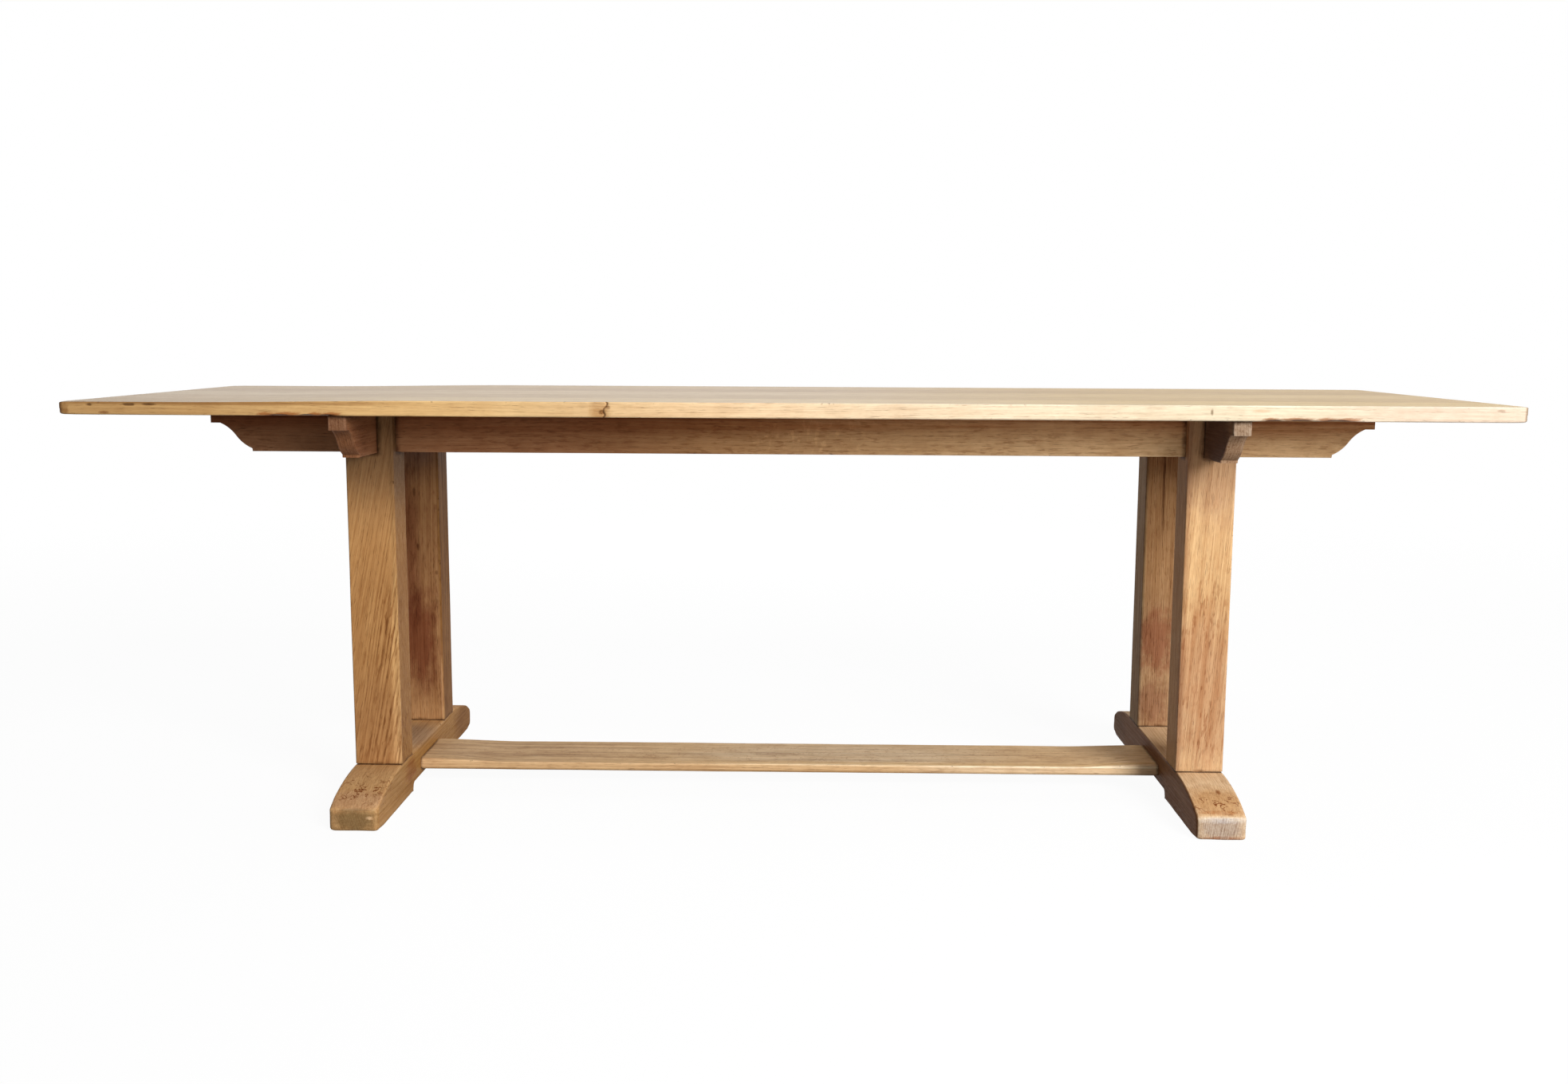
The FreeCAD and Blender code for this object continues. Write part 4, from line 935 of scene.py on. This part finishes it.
postPiece("rear", "right", 54, {**rearPost, "wood": (195, 154, 110), "pith": (0.8, 0.06, -0.75)},
    [((0, -0.038, 0.14), (0.2, 0.02, 0.28), 0, 1, (0.97, 1.06, 1.2)),
     # painted shade on the side face away from the light
     ((-0.043, 0, 0.4), (0.006, 0.2, 1), 0.1, 1, (0.63, 0.68, 0.68)),
     ((-0.0135, -0.038, 0.25), (0.05, 0.02, 0.09), 0.9, 0.9, (0.68, 0.46, 0.45)),
     ((-0.0175, -0.038, 0.12), (0.05, 0.02, 0.06), 0.9, 0.9, (0.74, 0.62, 0.64)),
     ((0, -0.038, 0.68), (0.1, 0.02, 0.13), 0.4, 0.7, (0.72, 0.56, 0.48)),
     ((-0.0075, -0.038, 0.56), (0.0034, 0.01, 0.13), 0.9, 0.9, dark)])
footPiece("left", 61, {"wood": (214, 170, 116), "pith": (0, 1.05, 0.08)},
    [((0, -0.25, 0.073), (0.09, 0.1, 0.06), 0.4, 0.9, (1, 1.04, 1.12)),
     ((0, -0.345, 0.05), (0.09, 0.05, 0.02), 0.3, 0.9, (0.92, 0.93, 1.12)),
     ((0, -0.31, 0.06), (0.06, 0.085, 0.04), 0.5, 1, scratched, "Scuffs"),
     ((0, 0.31, 0.06), (0.06, 0.09, 0.04), 0.5, 0.9, scratched, "Scuffs"),
     ((0.043, -0.14, 0.045), (0.01, 0.05, 0.03), 0.8, 0.8, (0.66, 0.42, 0.34), "Streaks"),
     # painted shade on the side face
     ((0.0445, 0, 0.03), (0.006, 0.6, 0.09), 0.1, 0.95, (0.58, 0.5, 0.34)),
     ((0, 0, 0.073), (0.09, 0.13, 0.012), 0.1, 1, (0.75, 0.82, 1.12)),
     ((0.0525, 0.32, 0.03), (0.05, 0.13, 0.09), 0.3, 1, (0.56, 0.455, 0.3)),
     ((0.0365, -0.345, 0.044), (0.004, 0.03, 0.012), 0.3, 0.8, (1.2, 1.3, 1.4), "Streaks"),
     ((0, -0.3675, 0.02), (0.06, 0.012, 0.03), 0.5, 0.95, (0.41, 0.43, 0.42)),
     ((-0.0325, -0.3675, 0.02), (0.012, 0.012, 0.02), 0.5, 0.7, (1.4, 1.4, 1.5)),
     ((0.0285, -0.3675, 0.025), (0.008, 0.006, 0.004), 0.5, 0.9, (2.1, 2.3, 3))])
footPiece("right", 62, {"wood": (236, 206, 166), "pith": (0.3, -1.15, 0.06)},
    [((0, -0.32, 0.06), (0.08, 0.06, 0.05), 0.4, 1, (0.79, 0.66, 0.52)),
     ((0, -0.33, 0.06), (0.06, 0.05, 0.04), 0.5, 1, scratched, "Scuffs"),
     ((0, -0.352, 0.045), (0.05, 0.008, 0.012), 0.5, 0.7, (0.72, 0.46, 0.28), "Streaks"),
     ((0.0115, -0.29, 0.063), (0.005, 0.011, 0.012), 0.6, 0.9, (0.45, 0.28, 0.18)),
     ((0, 0.31, 0.06), (0.06, 0.09, 0.04), 0.5, 0.9, scratched, "Scuffs"),
     ((0, 0, 0.073), (0.09, 0.13, 0.012), 0.1, 1, (0.93, 0.9, 0.87)),
     ((0, -0.3675, 0.02), (0.06, 0.009, 0.03), 0.4, 0.9, (0.58, 0.64, 0.84)),
     ((0, -0.3675, 0.02), (0.06, 0.006, 0.03), 0.3, 0.6, (0.55, 0.45, 0.42), "Ring"),
     # a pale band on the toe's upper arris: partly painted highlight, partly rubbed
     ((0, -0.366, 0.0375), (0.08, 0.009, 0.0085), 0.2, 1, (1.05, 1.22, 1.5)),
     ((0, -0.3675, 0.004), (0.06, 0.008, 0.005), 0.4, 0.8, (0.75, 0.5, 0.42), "Streaks"),
     ((0, 0.32, 0.03), (0.09, 0.12, 0.09), 0.3, 0.9, (0.58, 0.51, 0.32)),
     # painted shade on the side face away from the light
     ((-0.043, 0, 0.03), (0.004, 1.2, 0.2), 0.1, 1, (0.24, 0.145, 0.085))])
print("posts and feet made")


stretcher = {
    "steps": (0.007, 0.01, 0.006), "arris": 0.002, "endArris": 0.0004,
    "uneven": (0.08, 0.4, 71), "shoulder": 0.7095, "fingerNear": 0.017, "fingerFar": 0.059,
    "fingerFloor": 0.03175, "fingerRoof": 0.04475, "cutRow": 0.038, "cutEnd": 0.7535,
    # how far down feet have worn it, how much more at the front, out to where it is even, and how
    # that wavers: by how much, over what size, and the seed
    "worn": 0.0035, "wornFront": 0.0025, "wornFrom": 0.54, "waver": (0.0007, 0.3, 72),
}


def stretcherPiece(changes, stainsAndLight):
    low, high = corners("stretcher")
    ends = either(0, stretcher["shoulder"])
    block = [np.array([end, *corner[1:]]) for end, corner in zip(ends, (low, high))]
    cuts = pair(0, stretcher["cutRow"], sawCut["half"])
    cutEnds = either(0, stretcher["cutEnd"])
    between, fingers = either(0, stretcher["fingerNear"]), either(0, stretcher["fingerFar"])
    level = (stretcher["fingerFloor"], stretcher["fingerRoof"])
    hollows = []
    for past, atCut in zip(outside(*ends), outside(*cutEnds)):
        hollows += [(past, gap, through) for gap in (between, *outside(*fingers))]
        hollows += [(past, through, gap) for gap in outside(*level)]
        hollows += [(atCut, cut, through) for cut in cuts]
    lines = grid(low, high, stretcher["arris"], stretcher["steps"],
                 ([*ends, *cutEnds], [*between, *fingers, *np.ravel(cuts)], level))

    def shape(points):
        # Feet have worn the upper side down over the middle, most along its front arris
        worn = stretcher["arris"] * uneven(points, *stretcher["uneven"])
        radii = np.stack([np.full(len(points), stretcher["endArris"]), worn, worn], 1)
        points = easeArrises(points, *block, radii)
        away = np.abs(points[:, 0])
        drop = stretcher["worn"] + stretcher["wornFront"] * smooth(0, low[1], points[:, 1])
        waver, size, seed = stretcher["waver"]
        drop = drop + waver * drift(points, size, seed)
        drop = drop * (1 - smooth(stretcher["wornFrom"], stretcher["shoulder"], away))
        points[:, 2] = low[2] + (points[:, 2] - low[2]) * (1 - drop / (high[2] - low[2]))
        along = (high[0] - away) / (high[0] - stretcher["cutEnd"])
        closeCuts(points, cuts, along)
        return points

    carve("stretcher", lines, hollows, shape, (block[0] - [1, 0, 0], block[1] + [1, 0, 0]),
          meets(tightReach, "foot_left", "foot_right"), oakOf("stretcher", changes, stainsAndLight))


stretcherPiece({
    "wood": (246, 214, 168), "pith": (0.1, 0.02, 0.06), "streak": 0.45, "streakShade": (0.62, 0.55, 0.5),
    "tone": 0.2, "fibre": 0.45, "ring": 0.28, "dash": 0.3, "ringWidth": 0.003, "dashPitch": (22, 160, 160)},
    [((0, 0, 0.047), (0.9, 0.08, 0.02), 0.5, 0.3, scratched, "Scuffs"),
     ((0, -0.0715, 0.035), (3, 0.008, 0.1), 0, 1, (0.86, 0.79, 0.72)),
     ((0, 0, 0.046), (far, far, far), 0, 1, (0.82, 0.81, 0.79), "Upper"),
     ((0.35, -0.06, 0.046), (0.9, 0.012, 0.01), 0.3, 0.8, (1.08, 1.02, 0.85), "Streaks"),
     # a bright line along the worn front arris: partly painted highlight, partly rubbed
     ((0.3, -0.069, 0.0435), (0.85, 0.006, 0.0045), 0.3, 1, (1.4, 1.6, 1.8), "Streaks"),
     ((-0.03, -0.01, 0.046), (0.05, 0.02, 0.01), 0.7, 0.5, (0.6, 0.5, 0.45), "Streaks"),
     ((-0.6, 0, 0.046), (0.4, 0.09, 0.02), 0.2, 1, (0.82, 0.8, 0.83), "Streaks"),
     ((0.1, 0, 0.046), (0.4, 0.09, 0.02), 0.2, 1, (1, 1.12, 1.35), "Streaks"),
     ((0.55, -0.0715, 0.035), (0.4, 0.01, 0.05), 0.1, 1, (1.18, 1.35, 1.65), "Streaks"),
     ((0, -0.0715, 0.0275), (3, 0.008, 0.005), 0, 1, (0.6, 0.57, 0.52))])
print("stretcher made")


# The small pieces that stay as they are

steel = {"bright": paint(120, 116, 110), "tarnished": paint(92, 70, 52), "grain": (600, 600, 600),
         "metallic": 0.9, "smoothest": 0.3, "roughest": 0.6}


def steelMaterial():
    material, tree = newMaterial("screw_steel")
    dull = noise(tree, objectSpot(tree), steel["grain"], 4)
    colour = mixColour(tree, spread(tree, dull, 0.4, 0.65), steel["bright"], steel["tarnished"])
    rough = spread(tree, dull, 0.3, 0.7, steel["smoothest"], steel["roughest"])
    shader = place(tree, "ShaderNodeBsdfPrincipled", {
        "Base Color": colour, "Metallic": steel["metallic"], "Roughness": rough})
    place(tree, "ShaderNodeOutputMaterial", {"Surface": shader.outputs[0]})
    return material


def dress(material, *nodes):
    for node in nodes:
        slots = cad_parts[node].data.materials
        slots.clear()
        slots.append(material)


for kind, count, pith in (("button", 6, (0, 0.3, -0.6)), ("tongue", 4, (0, 0.1, -0.7))):
    nodes = [f"top_{kind}_{number + 1}" for number in range(count)]
    dress(oakMaterial(f"oak_{kind}", {"pith": pith}), *nodes)
dress(oakMaterial("oak_post_wedge", {"turn": alongZ}), "post_wedges")
dress(oakMaterial("oak_stretcher_wedge", {}), "stretcher_wedges")
dress(steelMaterial(), "button_screws", "bearer_screws")


# Floor, light and camera

def lightPathShare(tree):
    # 1 for what the camera sees directly, in a reflection or through glass
    path = tree.nodes.new("ShaderNodeLightPath").outputs
    seen = calc(tree, "MAXIMUM", path["Is Camera Ray"], path["Is Glossy Ray"])
    return calc(tree, "MAXIMUM", seen, path["Is Transmission Ray"])


floorLook = {"seen": paint(250, 250, 250), "bounced": paint(146, 144, 140), "size": 80, "veil": 0.95,
             "clearFrom": 2, "clearTo": 5, "under": 0.0002}


def makeFloor():
    # The floor is white where the camera sees it, but for the table's soft shadow, and fades to
    # plain white away from the table. Light that it throws back at the table is a little weaker.
    # It can be seen through from below, and lies a hair under the feet.
    half, level = floorLook["size"] / 2, -floorLook["under"]
    mesh = bpy.data.meshes.new("floor")
    corner = [(-half, -half, level), (half, -half, level), (half, half, level), (-half, half, level)]
    mesh.from_pydata(corner, [], [(0, 1, 2, 3)])
    material, tree = newMaterial("floor")
    seen = lightPathShare(tree)
    colour = mixColour(tree, seen, floorLook["bounced"], floorLook["seen"])
    pale = place(tree, "ShaderNodeBsdfDiffuse", {"Color": colour}).outputs[0]
    white = place(tree, "ShaderNodeEmission", {"Color": (1, 1, 1, 1), "Strength": 1}).outputs[0]
    away = vectorCalc(tree, "LENGTH", objectSpot(tree))
    clear = spread(tree, away, floorLook["clearFrom"], floorLook["clearTo"], floorLook["veil"], 1)
    clear = times(tree, seen, clear)
    mixed = place(tree, "ShaderNodeMixShader", {0: clear, 1: pale, 2: white}).outputs[0]
    below = tree.nodes.new("ShaderNodeNewGeometry").outputs["Backfacing"]
    below = times(tree, below, tree.nodes.new("ShaderNodeLightPath").outputs["Is Camera Ray"])
    nothing = tree.nodes.new("ShaderNodeBsdfTransparent").outputs[0]
    mixed = place(tree, "ShaderNodeMixShader", {0: below, 1: mixed, 2: nothing}).outputs[0]
    place(tree, "ShaderNodeOutputMaterial", {"Surface": mixed})
    mesh.materials.append(material)
    floor = addObject("floor", mesh)


worldLight = 0.08
lamps = {
    "key": {"spot": (2.7, -4.4, 2.8), "aim": (0, 0, 0.5), "width": 1.9, "height": 3, "power": 385},
    "fill": {"spot": (1, -4.6, 0.8), "aim": (0.1, 0, 0.6), "width": 3, "height": 1.2, "power": 32},
    "over": {"spot": (0.2, -0.3, 3.4), "aim": (0.2, -0.29, 0.75), "width": 2.6, "height": 1.2, "power": 16.5},
    "back": {"spot": (0, 4.6, 2.2), "aim": (0, 0, 0.5), "width": 3, "height": 1.6, "power": 130},
}


def makeWorld():
    world = bpy.data.worlds.new("studio")
    bpy.context.scene.world = world
    world.use_nodes = True
    tree = world.node_tree
    tree.nodes.clear()
    strength = spread(tree, lightPathShare(tree), 0, 1, worldLight, 1, "LINEAR")
    sky = place(tree, "ShaderNodeBackground", {"Color": (1, 1, 1, 1), "Strength": strength})
    place(tree, "ShaderNodeOutputWorld", {"Surface": sky.outputs[0]})


def makeLamp(name, look):
    lamp = bpy.data.lights.new(name, "AREA")
    lamp.shape = "RECTANGLE"
    lamp.size, lamp.size_y = look["width"], look["height"]
    lamp.energy = look["power"]
    thing = addObject(name, lamp)
    thing.location = look["spot"]
    thing.visible_glossy = False    # the polish mirrors the white room, not the lamps
    heading = np.array(look["aim"]) - np.array(look["spot"])
    thing.rotation_euler = (math.atan2(math.hypot(heading[0], heading[1]), -heading[2]), 0,
                            math.atan2(-heading[0], heading[1]))


camera = {"spot": (0.03645, -2.90395, 0.86242), "yaw": -0.01641, "pitch": -0.13607, "roll": 0.00501,
          "lens": 34.84, "sensor": 36, "clipEnd": 200}


def makeCamera():
    # The camera looks ahead by its yaw and pitch and is rolled about that line
    data = bpy.data.cameras.new("camera")
    data.lens, data.sensor_width = camera["lens"], camera["sensor"]
    data.clip_end = camera["clipEnd"]
    thing = addObject("camera", data)
    pose = Matrix.Translation(camera["spot"])
    for angle, axis in ((-camera["yaw"], "Z"), (math.pi / 2 + camera["pitch"], "X"), (camera["roll"], "Z")):
        pose = pose @ Matrix.Rotation(angle, 4, axis)
    thing.matrix_world = pose
    bpy.context.scene.camera = thing


makeFloor()
makeWorld()
for name, look in lamps.items():
    makeLamp(name, look)
makeCamera()
bpy.context.scene.view_settings.view_transform = "Standard"
print("floor, light and camera made")
